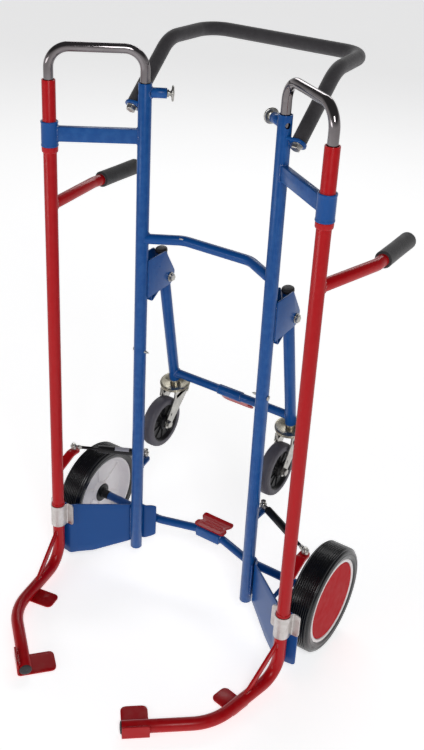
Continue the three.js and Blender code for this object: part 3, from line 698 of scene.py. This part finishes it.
def crossbars():
    level, set_back, bend_x, radius = 890.5, 44.6, 82.8, 11
    start, bend = upright_at(level) - X * 6, Vector((bend_x, set_back, level))
    along = (bend - upright_at(level)).normalized()
    corners = [mirror(start), mirror(bend), bend, start]
    bar = tube(corners, radius, (45, 45))
    piece("upper_crossbar_tube", bar, BLUE, "upper_crossbar")
    # This piece is a small bright zinc capsule on the left bend, a painted highlight that stands in for a
    # white glint on the bar.
    glint_chip = mirror(bend) + Vector((0, -10.8, 6.9))
    glint_chip_reach = (mirror(along) + X).normalized() * 5
    piece("upper_crossbar_glint_chip", tube([glint_chip - glint_chip_reach, glint_chip + glint_chip_reach], 1.5, sides=16,
                                       dome=(1.2, 1.2)), STRAP_ZINC, "upper_crossbar")
    loop = bead(saddle(upright_at(0), Z, TUBE, upright_at(level), along, radius), 2.0, 21)
    piece("upper_crossbar_welds", joined(loop, mirrored(loop)), BLUE_WELD, "upper_crossbar")

    bend_x, mid_x, mid_y = 130, 37, 84.5
    right = [Vector((mid_x, mid_y, WHEEL.z)), Vector((bend_x, WHEEL.y, WHEEL.z)),
             Vector((344, WHEEL.y, WHEEL.z))]
    axle = tube([mirror(c) for c in reversed(right)] + right, 10, (60, 60, 60, 60), bore=7, depth=10)
    box = plate(rounded([(-33, -12, 3), (33, -12, 3), (33, 12, 3), (-33, 12, 3)]), 25, (0, mid_y, WHEEL.z),
                X, Z, edge=2)
    # Black sleeves round the axle beside each wheel hub, which make that stretch of axle dark.
    black_sleeve = turned([(-22, 9.7), (-22, 10.6), (-6, 11.4), (-5, 13.6), (-1.5, 14), (-1.5, 9.7)],
                    WHEEL - X * 15.5, X, 40, 0.5, True)
    piece("axle_bent_tube", joined(axle, box), BLUE, "axle_tube")
    piece("axle_black_sleeves", joined(black_sleeve, mirrored(black_sleeve)), CORE, "axle_tube")
    loops = [bead(around((side * 33.5, mid_y, WHEEL.z), 10.5, Y, Z, full_turn(24)), 1.6, 30 + side)
             for side in (1, -1)]
    piece("axle_welds", joined(*loops), BLUE_WELD, "axle_tube")


def pedal(edge_middle, across, reach):
    """A pressed pedal: waved sides, three raised ribs, its far corners turned up a little."""
    width, depth, notch, thickness = 85, 52, 8, 3
    columns, rows_count = 44, 40
    edge_middle, up = Vector(edge_middle), across.cross(reach)
    rings = []
    for j in range(rows_count + 1):
        t = j / rows_count
        half = width / 2 - notch * math.exp(-((t - 0.5) / 0.13) ** 2)
        for corner, near in ((4, t / 0.09), (9, (1 - t) / 0.16)):
            half -= corner * (1 - math.sqrt(max(0, 1 - max(0, 1 - near) ** 2)))
        top, bottom = [], []
        for i in range(columns + 1):
            x = half * (2 * i / columns - 1)
            fade = max(0, min(1, (half - 7 - abs(x)) / 5))
            ribs = sum(0.7 * math.exp(-((t - c) * depth / 2.6) ** 2) for c in (0.3, 0.5, 0.7)) * fade
            turn_up = 3 * max(0, (abs(x) - 28) / 15) ** 2 + 2.5 * max(0, t - 0.8) / 0.2
            spot = edge_middle + across * x + reach * (t * depth)
            top.append(spot + up * (thickness / 2 + ribs + turn_up))
            bottom.append(spot + up * (turn_up - thickness / 2 + ribs * 0.6))
        rings.append(bottom + top[::-1])
    return bevelled(skin(rings), 0.6, 2, 55)


def pedals():
    piece("lower_pedal_plate", pedal((0, 78.5, WHEEL.z + 14), X, Y), RED, "lower_pedal")
    down = Vector((0, math.cos(PEDAL_FALL), -math.sin(PEDAL_FALL)))
    edge = Vector((0, LEG_BAR_Y, LEG_BAR_Z)) + down * LEG_SLEEVE
    piece("castor_pedal_plate", pedal(edge, X, down), RED, "castor_pedal", "castor_support")


def base_plates():
    plan = flat_route([(132.8, 43.4), (150, 21), (163, 18.4), (176, 10.6), (180, -3), (281, -80), (294, -93),
                       (346, -93)], [10, 10, 8, 6, 5, 7], 2.0)
    outline = rounded([(129, 173, 19), (158, 181), (168, 183), (347, 183, 9), (347, 45, 10), (291, 37, 12),
                       (250, 43, 40), (176, 75), (158, 80), (129, 85, 16)], 8)

    def limits(point):
        crossings = []
        for a, b in zip(outline, outline[1:] + outline[:1]):
            if (a.x - point.x) * (b.x - point.x) <= 0 and abs(a.x - b.x) > 1e-6:
                crossings.append(a.y + (b.y - a.y) * (point.x - a.x) / (b.x - a.x))
        return (min(crossings), max(crossings)) if crossings else (110, 130)

    sheet = strip(plan, limits, 4, (0, 0, 0), X, Y, Z, 0.8, 6)
    strut = tube([(226, -36, 93), (236, WHEEL.y - 11, 120)], 5, sides=20)
    pair("base_plate_sheet", joined(sheet, strut), BLUE, "base_plate")
    upright_seam = seam((173.5, -6.5, 0), Z, range(88, 180, 6), 1.8, 41)
    strut_foot = bead(around((226, -34, 93), 5, X, Z, full_turn(12)), 1.5, 43)
    pair("base_plate_welds", joined(upright_seam, strut_foot), BLUE_WELD, "base_plate")


def top_arms():
    level, half, thickness, sleeve_radius = 1113, 15.5, 15, 17.4
    towards = (pivot_at(0) - upright_at(0)).normalized()
    span = (pivot_at(0) - upright_at(0)).length
    # The beam ends inside the upright and inside the sleeve's wall.
    start, end = 6, span - 15.2
    beam = plate(rounded([(start, -half), (end, -half), (end, half), (start, half)]), thickness,
                 upright_at(level), towards, Z, edge=2.4)
    rim = [(-26.2, 14.7), (-26.2, sleeve_radius), (-25.2, 18.1), (-22.5, 18.0), (-21, sleeve_radius)]
    sleeve = turned(both_sides(rim), pivot_at(level), Z, 48, 0.6, True)
    pair("top_arm_beam", joined(beam, sleeve), BLUE, "top_arm")
    across = Z.cross(towards)
    box = [(-half, -thickness / 2), (half, -thickness / 2), (half, thickness / 2), (-half, thickness / 2)]
    steps = 8
    loops = []
    for distance, radius, sign in ((0, TUBE, 1), (span, sleeve_radius, -1)):
        points = []
        for (z0, c0), (z1, c1) in zip(box, box[1:] + box[:1]):
            for k in range(steps):
                z, c = z0 + (z1 - z0) * k / steps, c0 + (c1 - c0) * k / steps
                reach = distance + sign * math.sqrt(radius ** 2 - c * c)
                points.append(upright_at(level) + towards * reach + across * c + Z * z)
        loops.append(bead(points, 1.9, 50 + sign))
    pair("top_arm_welds", joined(*loops), BLUE_WELD, "top_arm")


def castor_brackets():
    outline = rounded([(3, 841), (66, 843, 6), (103, 783, 14), (90, 757, 12), (3, 752)])
    flanges = [plate(outline, 3, (UPRIGHT_X + side * 15.9, 0, 0), Y, Z) for side in (1, -1)]
    path = flat_route([(17, 762), (18.5, 736.5), (53, 759)], [4], 3)
    web = strip(path, lambda point: (-15, 15), 3, (UPRIGHT_X, 0, 0), Y, Z, X, 0.6)
    pair("castor_bracket_sheet", joined(*flanges, web), BLUE, "castor_bracket")
    seams = [seam((UPRIGHT_X + side * 13.2, 5.4, 0), Z, range(756, 838, 6), 1.6, 60 + side)
             for side in (1, -1)]
    pair("castor_bracket_welds", joined(*seams), BLUE_WELD, "castor_bracket")
    centre = Vector((UPRIGHT_X, FOLD.y, FOLD.z))
    bolt = joined(
        tube([centre - X * 26, centre + X * 18], 5, sides=24),
        hex_head(centre + X * 17.5, X, 16, 8.0, 11), hex_head(centre - X * 17.5, -X, 15, 8.5, 11),
    )
    pair("castor_pivot_hardware", bolt, ZINC, "castor_pivot_bolt")


def pivot_straps():
    foot, top, ear, corner, thickness = 130, 187, 34.5, 6, 3
    inner = TUBE + 0.5 + thickness / 2
    line = -96.8 - PIVOT.y
    bow = [(inner * math.cos(a), inner * math.sin(a)) for a in arc(180, 361, 12)]
    path = flat_route([(-ear, line), (-inner, line), *bow, (inner, line), (ear, line)],
                      [4] + [0.1] * len(bow) + [4], 1.5)

    def limits(point):
        inset = max(0, abs(point.x) - (ear - corner))
        bite = corner - math.sqrt(max(corner ** 2 - inset ** 2, 0))
        return foot + bite, top - bite

    strap = strip(path, limits, thickness, pivot_at(0), X, Y, Z, 0.8, 4)
    pair("pivot_strap_band", strap, STRAP_ZINC, "pivot_strap")


HANDLE_FOOT = Vector((190, -6, 1165))
HANDLE_SHOULDER = Vector((192, 123, 1287))
HANDLE_CORNER = Vector((182, 264, 1289))
HANDLE_AXIS = (HANDLE_SHOULDER - HANDLE_FOOT).normalized()


def handle_at(reach):
    return HANDLE_FOOT + HANDLE_AXIS * reach


def push_handle():
    def corners(start):
        right = [handle_at(start), HANDLE_SHOULDER, HANDLE_CORNER]
        return right + [mirror(c) for c in reversed(right)]

    bends = (70, 48, 48, 70)
    piece("push_handle_inner", tube(corners(12.2), 11, bends), BLUE, "push_handle_tube")
    foam = tube(corners(14.5), 14.5, bends, edge=2.5, sides=40)
    sleeve = piece("push_handle_sleeve", foam, FOAM, "push_handle_foam")
    bolt = joined(hex_head(handle_at(6.9), -HANDLE_AXIS, 18, 10.5, 11.4), tube([handle_at(5), handle_at(30)],
                                                                               5, sides=24))
    pair("handle_bolt_head", bolt, ZINC, "handle_bolt")


JAW_CORNER = Vector((279, -310.1, JAW_Z))
JAW_TIP = Vector((132.5, -434.5, JAW_Z))
HEEL = Vector((279 - 314.8, -310.1 + 111.2, 0)).normalized()
JAW_DIRECTION = (JAW_TIP - JAW_CORNER).normalized()
JAW_INWARD = Vector((JAW_DIRECTION.y, -JAW_DIRECTION.x, 0))


def arms():
    top = 1222.9
    tube_shell = tube([pivot_at(top), pivot_at(JAW_Z), JAW_CORNER, JAW_TIP], TUBE, (52, 130), bore=TUBE_BORE,
                      depth=60)
    upper = turned([(1073.5, 13.5), (1074.5, 16.3), (1077, 17), (1086, 17), (1086.4, 16), (1086.4, 13.5)],
                   pivot_at(0), Z, 48, 1.2, True)
    lower = turned([(187.4, 13.5), (187.4, 15.2), (188.5, 16), (192, 16), (194, 14.8), (195, 13.5)],
                   pivot_at(0), Z, 48, 0.8, True)
    pair("pivot_tube_bent", joined(tube_shell, upper, lower), RED, "pivot_tube", "_arm")

    brace = plate(rounded([(9, 118), (13, 116.5), (111, 31), (108, 24), (95, 26), (9, 103)]), 6, pivot_at(0),
                  HEEL, Z, edge=1.1)
    pair("jaw_brace_bar", brace, RED, "jaw_brace", "_arm")
    across = Z.cross(HEEL)
    seams = []
    for side in (-1, 1):
        seams.append(seam(pivot_at(0) + HEEL * 13.4 + across * (side * 3.6), Z, range(101, 117, 3), 1.8,
                          71 + side))
        seams.append(seam(pivot_at(33.5) + across * (side * 3.8), HEEL, range(92, 110, 3), 1.8, 75 + side))
    pair("jaw_brace_welds", joined(*seams), RED_WELD, "jaw_brace", "_arm")

    outer, reach, lip, length, corner, lip_corner = -TUBE - 2.3, 69, 36, 58, 12, 5
    section = flat_route([(reach, 2), (outer, 2), (outer, lip)], [6], 1.5)

    def limits(point):
        on_foot = point.y < 10
        inset = max(0, point.x - (reach - corner) if on_foot else point.y - (lip - lip_corner))
        radius = corner if on_foot else lip_corner
        bite = radius - math.sqrt(max(radius ** 2 - inset ** 2, 0)) if inset else 0
        return -length + bite, -bite

    base = Vector((JAW_TIP.x, JAW_TIP.y, 0))
    foot = strip(section, limits, 4, base, JAW_INWARD, Z, JAW_DIRECTION, 0.9, 6)
    pair("toe_plate_sheet", foot, RED, "toe_plate", "_arm")
    seams = [seam(base + JAW_INWARD * inward + Z * rise, -JAW_DIRECTION, range(4, 54, 4), radius, seed)
             for inward, rise, radius, seed in ((-12.2, 28.5, 3.6, 79), (9, 5.5, 2.0, 81))]
    pair("toe_plate_welds", joined(*seams), RED_WELD, "toe_plate", "_arm")

    tab_direction = Vector((-HEEL.y, HEEL.x, 0))
    tab = plate(rounded([(-60, -23, 12), (8, -23), (8, 23), (-60, 23, 12)]), 4, Vector((292, -234, 2)),
                tab_direction, -HEEL, edge=0.9)
    pair("tyre_tab_plate", tab, RED, "tyre_tab", "_arm")
    cap = turned([(-6, 0), (-6, 11), (0.2, 11), (0.3, 13.6), (1.6, 13.7), (3.0, 11.5), (3.9, 7), (4.2, 0)],
                 JAW_TIP, JAW_DIRECTION, 48, 0.8)
    pair("jaw_end_plug", cap, CAP, "jaw_end_cap", "_arm")


def side_handles():
    radius, corner = 12.5, 11
    start, bend, end = Vector((PIVOT.x, PIVOT.y, 958.6)), Vector((348, 66, 951.6)), Vector((344, 216, 951.6))
    along = (bend - start).normalized()
    bar = tube([start + along * 5, bend, end], radius, (40,))
    pair("side_handle_tube", bar, RED, "side_handle", "_arm")
    loop = bead(saddle(pivot_at(0), Z, TUBE, start, along, radius), 2.0, 91)
    pair("side_handle_weld", loop, RED_WELD, "side_handle", "_arm")
    grip_axis = (end - bend).normalized()
    grip = turned([(-122, 12.2), (-123, 15), (-122.6, 17.4), (-120, 18), (-116, 17.8), (-60, 17.5),
                   (-2, 17.9), (1, 17.6), (3.5, 15), (5, 9), (5.3, 0)], end, grip_axis, 48, 0.9)
    pair("side_grip_sleeve", grip, GRIP, "side_grip", "_arm")

    path = flat_route([(-102, 286), (-60, 305.8), (-32, 305.8)], [12], 2.0)

    def limits(point):
        inset = max(0, point.x + 43)
        half = math.sqrt(max(corner ** 2 - inset ** 2, 0.3))
        return -half, half

    middle_x = (PIVOT.x + SPRING_BALL.x) / 2
    lever = strip(path, limits, 6, (middle_x, 0, 0), Y, Z, X, 0.9, 4)
    pair("spring_lever_bar", lever, RED, "spring_lever", "_arm")
    line = [Vector((middle_x + x, -99.5 - abs(x) * 0.35, 294.5)) for x in range(-10, 11, 3)]
    pair("spring_lever_weld", bead(line, 2.0, 95, loop=False), RED_WELD, "spring_lever", "_arm")


def gas_springs():
    body = turned([(19, 0), (19, 6.5), (20.5, 8.6), (22, 9), (26, 9), (27, 8.6), (28, 9), (106, 9),
                   (107, 8.3), (109, 8.3),
                   (110, 9), (114, 9), (115.5, 8), (116, 5), (116, 0)], SPRING_LUG, SPRING_AXIS, 48, 0.4)
    rise = SPRING_AXIS.cross(Z)
    rings = []
    for outward in around((0, 0, 0), 1, -rise, Z, arc(30, 151, 10)):
        rings.append([SPRING_LUG + SPRING_AXIS * t + outward * r
                      for t, r in ((40, 8.9), (40, 9.2), (74, 9.2), (74, 8.9))])
    label = bevelled(skin(rings), 0.08, 1)
    pair("gas_spring_cylinder", body, LACQUER, "gas_spring_body", "_gas_spring_cylinder")
    piece("left_gas_spring_label", mirrored(label), LABEL, "left_gas_spring_body",
          "left_gas_spring_cylinder")

    def socket(centre, inward):
        cup = turned([(-6, 3.6), (-6, 6.4), (-4.5, 7.2), (3.5, 7.2), (6, 5.6), (6, 3.6)], centre, Z, 36, 0.6,
                     True)
        neck = turned([(5.5, 0), (5.5, 4.4), (10, 4.4), (10.5, 5.2), (16.5, 5.2), (17, 4.2), (20, 4.2),
                       (20, 0)], centre, inward, 32, 0.4)
        clip = around(centre + Z * 2.2, 7.6, X, Y, arc(-150, 151, 15))
        return joined(cup, neck, tube(clip, 0.7, [0.5] * (len(clip) - 2), sides=10, edge=0.1))

    pair("gas_spring_fitting", socket(SPRING_LUG, SPRING_AXIS), ZINC, "gas_spring_body",
         "_gas_spring_cylinder")
    shaft = tube([SPRING_LUG + SPRING_AXIS * 72, SPRING_BALL - SPRING_AXIS * 8], 3.8, sides=28)
    pair("gas_spring_shaft", shaft, DARK_STEEL, "gas_spring_rod", "_gas_spring_piston")
    stud = turned([(-7.2, 0), (-7.2, 4), (-6.4, 4), (6.4, 3.4), (6.6, 5), (8.6, 5), (9, 3), (9, 0)],
                  SPRING_BALL, Z, 32, 0.3)
    fitting = joined(socket(SPRING_BALL, -SPRING_AXIS), stud)
    pair("gas_spring_stud", fitting, ZINC, "gas_spring_rod", "_gas_spring_piston")


def bows():
    leg_foot, bend, holes, pitch = 800, 42, 4, 70
    shell = tube([upright_at(leg_foot), upright_at(BOW_TOP), pivot_at(BOW_TOP), pivot_at(leg_foot)], BOW,
                 (bend, bend), bore=8, depth=30, sides=40)
    solid_ends = [(plunger_at(5) - Z * pitch * i, plunger_at(BOW + 3) - Z * pitch * i, 4.8)
                  for i in range(holes)]
    pair("top_bow_tube", drilled(shell, solid_ends), CHROME, "top_bow", "_bow")

    reach, knob = 58, 16
    spindle = turned([(12.2, 0), (12.2, 3), (13.5, 4.2), (44, 4.2), (44.4, 7.6), (47.5, 7.6), (48, 5.2),
                      (51, 5.2),
                      (52, 8), (reach - 1, 8), (reach + 0.5, 5.5), (reach + 0.8, 0)], plunger_at(0),
                     PLUNGER_AXIS, 40, 0.5)
    disc = turned([(reach - 5, 7), (reach - 5, knob - 2), (reach - 4, knob), (reach - 1.4, knob),
                   (reach, knob - 2),
                   (reach - 0.6, knob - 4), (reach - 0.4, 7)], plunger_at(0), PLUNGER_AXIS, 56, 0.9, True)
    pair("bow_plunger_knob", joined(spindle, disc), ZINC, "bow_plunger", "_plunger")


def wheels():
    radius = 125
    side = [(27, 100.4), (27.4, 101.5), (29.2, 103.5), (29.9, 106), (29.9, 111), (29.1, 111.6), (29.1, 113),
            (29.9, 113.6),
            (29.6, 117.5), (28, 120.2), (26.4, 121), (26.0, 120.6), (25.4, 120.9), (25.2, 122.4),
            (23.9, 124.2), (22.4, 124.9)]
    grooves = []
    count, spacing, depth = 9, 5.0, 2.4
    for k in range(count):
        x = (count - 1) * spacing / 2 - k * spacing
        half_groove = [(1.8, radius - 0.15), (1.2, radius - 0.8), (0.8, radius - depth)]
        grooves += [(x + along, r) for along, r in both_sides(half_groove)] + [(x - spacing / 2, radius)]
    tyre = turned(both_sides(side, grooves), WHEEL, X, 120, 0, True)
    pair("tyre_ring", tyre, TYRE, "tyre", "_wheel")

    cap, hub, bore = 92, 24, 10.6
    rim = turned([(-14, bore), (19.5, bore), (19.5, hub), (8, hub), (5.5, hub + 3), (5.5, cap - 4),
                  (9, cap + 0.4),
                  (26.4, cap + 0.4), (27.6, cap + 1.6), (27.8, 98.4), (27, 100.1), (-27, 100.1), (-27.6, 99),
                  (-27.4, cap + 4.5), (-26, cap + 3), (-8, cap - 1), (-2, cap - 6), (-2, hub + 5),
                  (-5, hub + 2), (-14, hub + 0.5)], WHEEL, X, 96, 1.2, True)
    rib = rounded([(hub - 2, -1), (cap, -1), (cap, -5, 2), (hub + 26, -4.0, 20), (hub - 2, -5.5)])
    ribs = spokes(rib, 5.0, WHEEL, 6, 0.9, 0.5)
    pair("wheel_rim_disc", joined(rim, *ribs), RIM, "wheel_rim", "_wheel")
    bush = joined(
        turned([(-16.5, bore), (-16.5, 15), (-15.5, 22.5), (-14.5, 24.2), (-12, 24.2), (-12, bore)], WHEEL,
               X, 64, 0.6, True),
        turned([(-16.4, 13.6), (-17, 14.2), (-17, 16.0), (-16.4, 16.6)], WHEEL, X, 48, 0, True),
    )
    pair("wheel_hub_bush", bush, CORE, "wheel_rim", "_wheel")

    disc = turned([(24.4, 0), (24.4, 70), (22, 88), (14, cap - 2.4), (14, cap - 0.2), (24.6, cap - 0.2),
                   (26.4, cap - 1.6),
                   (27.0, cap - 4), (26.4, cap - 6.5), (26.5, 60), (27.3, 20), (27.4, 0)], WHEEL, X, 120,
                  0.8)
    pair("hub_cap_disc", disc, HUB_RED, "hub_cap", "_wheel")


LEG_TOP = Vector((160, 70.9, 844.5))
LEG_FOOT = Vector((160, 143.2, 480))
LEG_AXIS = (LEG_TOP - LEG_FOOT).normalized()
LEG_RADIUS, LEG_BAR_Y, LEG_BAR_Z, LEG_BAR, LEG_SLEEVE = 12.5, 139.2, 500.0, 10.0, 12.0
PEDAL_FALL = math.radians(52)


def castor_support():
    shell = tube([LEG_FOOT, LEG_TOP - LEG_AXIS * 9], LEG_RADIUS, edge=1.2)
    bar_end = Vector((LEG_FOOT.x - 4, LEG_BAR_Y, LEG_BAR_Z))
    bar = tube([mirror(bar_end), bar_end], LEG_BAR)
    middle = Vector((0, LEG_BAR_Y, LEG_BAR_Z))
    sleeve = tube([middle - X * 30, middle + X * 30], LEG_SLEEVE, edge=1)
    piece("castor_frame_tubes", joined(shell, mirrored(shell), bar, sleeve), BLUE, "castor_frame",
           "castor_support")
    weld = joined(
        bead(saddle(LEG_FOOT, LEG_AXIS, LEG_RADIUS, bar_end + X * 4, -X, LEG_BAR), 1.9, 101),
        bead(around((30.5, LEG_BAR_Y, LEG_BAR_Z), 10.4, Y, Z, full_turn(24)), 1.6, 103),
    )
    piece("castor_frame_welds", joined(weld, mirrored(weld)), BLUE_WELD, "castor_frame",
           "castor_support")
    cap = turned([(-12, 0), (-12, 10), (-9, 10), (-8.8, 13.2), (-7.4, 13.6), (-2.2, 13.4), (-0.6, 11.5),
                  (0, 8), (0.3, 0)], LEG_TOP, LEG_AXIS, 48, 0.8)
    pair("leg_cap_plug", cap, CAP, "leg_cap", "castor_support")


def castors():
    """Drawn about the swivel with its axis upright, then turned to the swivel's true axis."""
    spot = Matrix.Translation(SWIVEL) @ Matrix.Rotation(math.atan2(-SWIVEL_AXIS.y, SWIVEL_AXIS.z), 4, "X")
    axle = spot.inverted() @ CASTOR
    drop, trail, fork, hub = -axle.z, -axle.y, 18, 17.3

    race = turned([(-1.5, 12), (-0.4, 31), (-0.6, 36), (-2.2, 37), (-3.2, 36), (-3.6, 34.4), (-4.6, 34.4),
                   (-5.2, 35.8), (-6.6, 36.4), (-8, 35), (-9.6, 27), (-10, 12)], (0, 0, 0), Z, 72, 0.5, True)
    stem = turned([(6.9, 7), (6.9, 11), (-2, 11.4), (-2.6, 14.5), (-11, 14.5), (-11, 7)], (0, 0, 0), Z, 40,
                  0.5, True)
    pair("castor_race", moved(joined(race, stem), spot), YELLOW_ZINC, "castor_fork",
         "_castor_swivel")

    outline = rounded([(-30, -8), (28, -8, 2), (21, -32, 20), (15 - trail, -drop - 9, 10),
                       (-trail - 4, -drop - 14, 9), (-trail - 13, -drop - 2, 9), (-34, -24, 16)], 6)
    along = (Vector((-trail, -drop)) - Vector((-6, -14))).normalized()
    slot_middle = Vector((-trail, -drop)) - along * 23
    over = Vector((-along.y, along.x))
    slot = [slot_middle + along * a + over * b for a, b in ((-3.5, -2), (3.5, -2), (3.5, 2), (-3.5, 2))]
    cheeks = []
    for side in (1, -1):
        cheeks.append(plate(outline, 3, (side * (fork + 1.5), 0, 0), Y, Z, holes=[slot], edge=0.7))
        rear = [p for p in outline[1:] if p.y > -drop + 6 and p.x > -20]
        front = outline[-7:] + [Vector((-30, -9))]
        for lip in (rear, front):
            points = [Vector((side * (fork + 3.4), p.x, p.y)) for p in lip]
            cheeks.append(tube(points, 1.7, [1.0] * (len(points) - 2), sides=12, edge=0.4))
    crown = strip(flat_route([(-fork - 1.5, -30), (-fork - 1.5, -11), (fork + 1.5, -11), (fork + 1.5, -30)],
                             [6, 6], 2), lambda point: (-27, 27), 3, (0, 0, 0), X, Z, Y, 0.8, 4)
    pair("castor_fork_sheet", moved(joined(*cheeks, crown), spot), ZINC, "castor_fork",
         "_castor_swivel")
    pin = joined(
        tube([axle - X * (fork + 9), axle + X * (fork + 9)], 5.6, sides=28),
        hex_head(axle + X * (fork + 3), X, 15, 8, 9.5), hex_head(axle - X * (fork + 3), -X, 15, 8, 9.5),
        *[turned([(low, 6), (low, 9), (high, 9), (high, 6)], axle, X, 32, 0.1, True)
          for low, high in ((-fork, -hub), (hub, fork))],
    )
    pair("castor_axle_bolt", moved(pin, spot), ZINC, "castor_fork", "_castor_swivel")

    radius, half = 62.5, 15
    side = [(-10, 46.4), (-half + 0.6, 47), (-half, 48.5), (-half, radius - 8), (-half + 1, radius - 4.6),
            (-half + 2.2, radius - 2.6), (-8, radius - 0.4)]
    tread = turned(both_sides(side, [(0, radius)]), axle, X, 80, 0.8, True)
    pair("castor_tread_ring", moved(tread, spot), TREAD, "castor_wheel", "_castor_roller")
    side = [(-17, 6.5), (-17, 13), (-14, 16.5), (-6, 17.5), (-6, 41), (-12.5, 44.6), (-14, 46.6), (-9, 46.9)]
    core = turned(both_sides(side), axle, X, 72, 0.6, True)
    ribs = spokes(rounded([(14, -9), (43, -8), (43, 8), (14, 9)]), 2.2, axle, 10, 0.6)
    pair("castor_core_hub", moved(joined(core, *ribs), spot), CORE, "castor_wheel",
         "_castor_roller")


uprights()
crossbars()
pedals()
base_plates()
top_arms()
castor_brackets()
pivot_straps()
push_handle()
arms()
side_handles()
gas_springs()
bows()
wheels()
castor_support()
castors()

# ---------------------------------------------------------------- floor, light and camera


def floor():
    reach = 30.0
    corners = [(-reach, -reach, 0), (reach, -reach, 0), (reach, reach, 0), (-reach, reach, 0)]
    mesh = mesh_from("floor", corners, [(0, 1, 2, 3)])
    mesh.materials.append(floor_paper("floor_paper"))
    linked("floor", mesh)


def softbox(name, place, target, size, power):
    light = bpy.data.lights.new(name, "AREA")
    light.shape = "RECTANGLE"
    light.size, light.size_y = size
    light.energy = power
    made = linked(name, light)
    made.location = place
    made.rotation_euler = (Vector(target) - Vector(place)).to_track_quat("-Z", "Y").to_euler()


def studio():
    world = bpy.data.worlds.new("studio")
    world.use_nodes = True
    tree = world.node_tree
    background = tree.nodes["Background"]
    place = tree.nodes.new("ShaderNodeTexCoord")
    split = tree.nodes.new("ShaderNodeSeparateXYZ")
    shade = tree.nodes.new("ShaderNodeValToRGB")
    tree.links.new(place.outputs["Generated"], split.inputs[0])
    tree.links.new(split.outputs["Z"], shade.inputs[0])
    tree.links.new(shade.outputs[0], background.inputs[0])
    horizon, above = shade.color_ramp.elements
    horizon.position, horizon.color = 0.0, (1.0, 1.0, 1.0, 1)
    above.position, above.color = 0.45, (0.12, 0.12, 0.125, 1)
    background.inputs[1].default_value = 0.8
    bpy.context.scene.world = world
    middle = (0, 0, 0.6)
    softbox("key", (2.2, -2.6, 3.4), middle, (1.3, 1.3), 54)
    softbox("fill", (-1.7, -3.6, 1.4), middle, (2.2, 0.7), 20)
    softbox("back", (-1.5, 3.2, 3.0), middle, (3.0, 0.8), 34)


def camera():
    azimuth, elevation, roll = math.radians(33.35), math.radians(27.51), math.radians(2.56)
    back = Matrix.Rotation(azimuth, 3, "Z") @ Vector((0, -math.cos(elevation), math.sin(elevation)))
    right = Vector((math.cos(azimuth), math.sin(azimuth), 0))
    up = back.cross(right)
    right, up = right * math.cos(roll) + up * math.sin(roll), up * math.cos(roll) - right * math.sin(roll)
    lens = bpy.data.cameras.new("camera")
    lens.sensor_width = 36
    lens.lens = 50.29728
    lens.shift_x, lens.shift_y = 0.0284, -0.0663
    lens.clip_end = 100
    matrix = Matrix((right, up, back)).transposed().to_4x4()
    matrix.translation = Vector((1062.46, -1655.35 + PLANE_Y, 1757.07)) * MM
    bpy.context.scene.camera = linked("camera", lens)
    bpy.context.scene.camera.matrix_world = matrix


floor()
studio()
camera()
bpy.context.scene.view_settings.view_transform = "Standard"
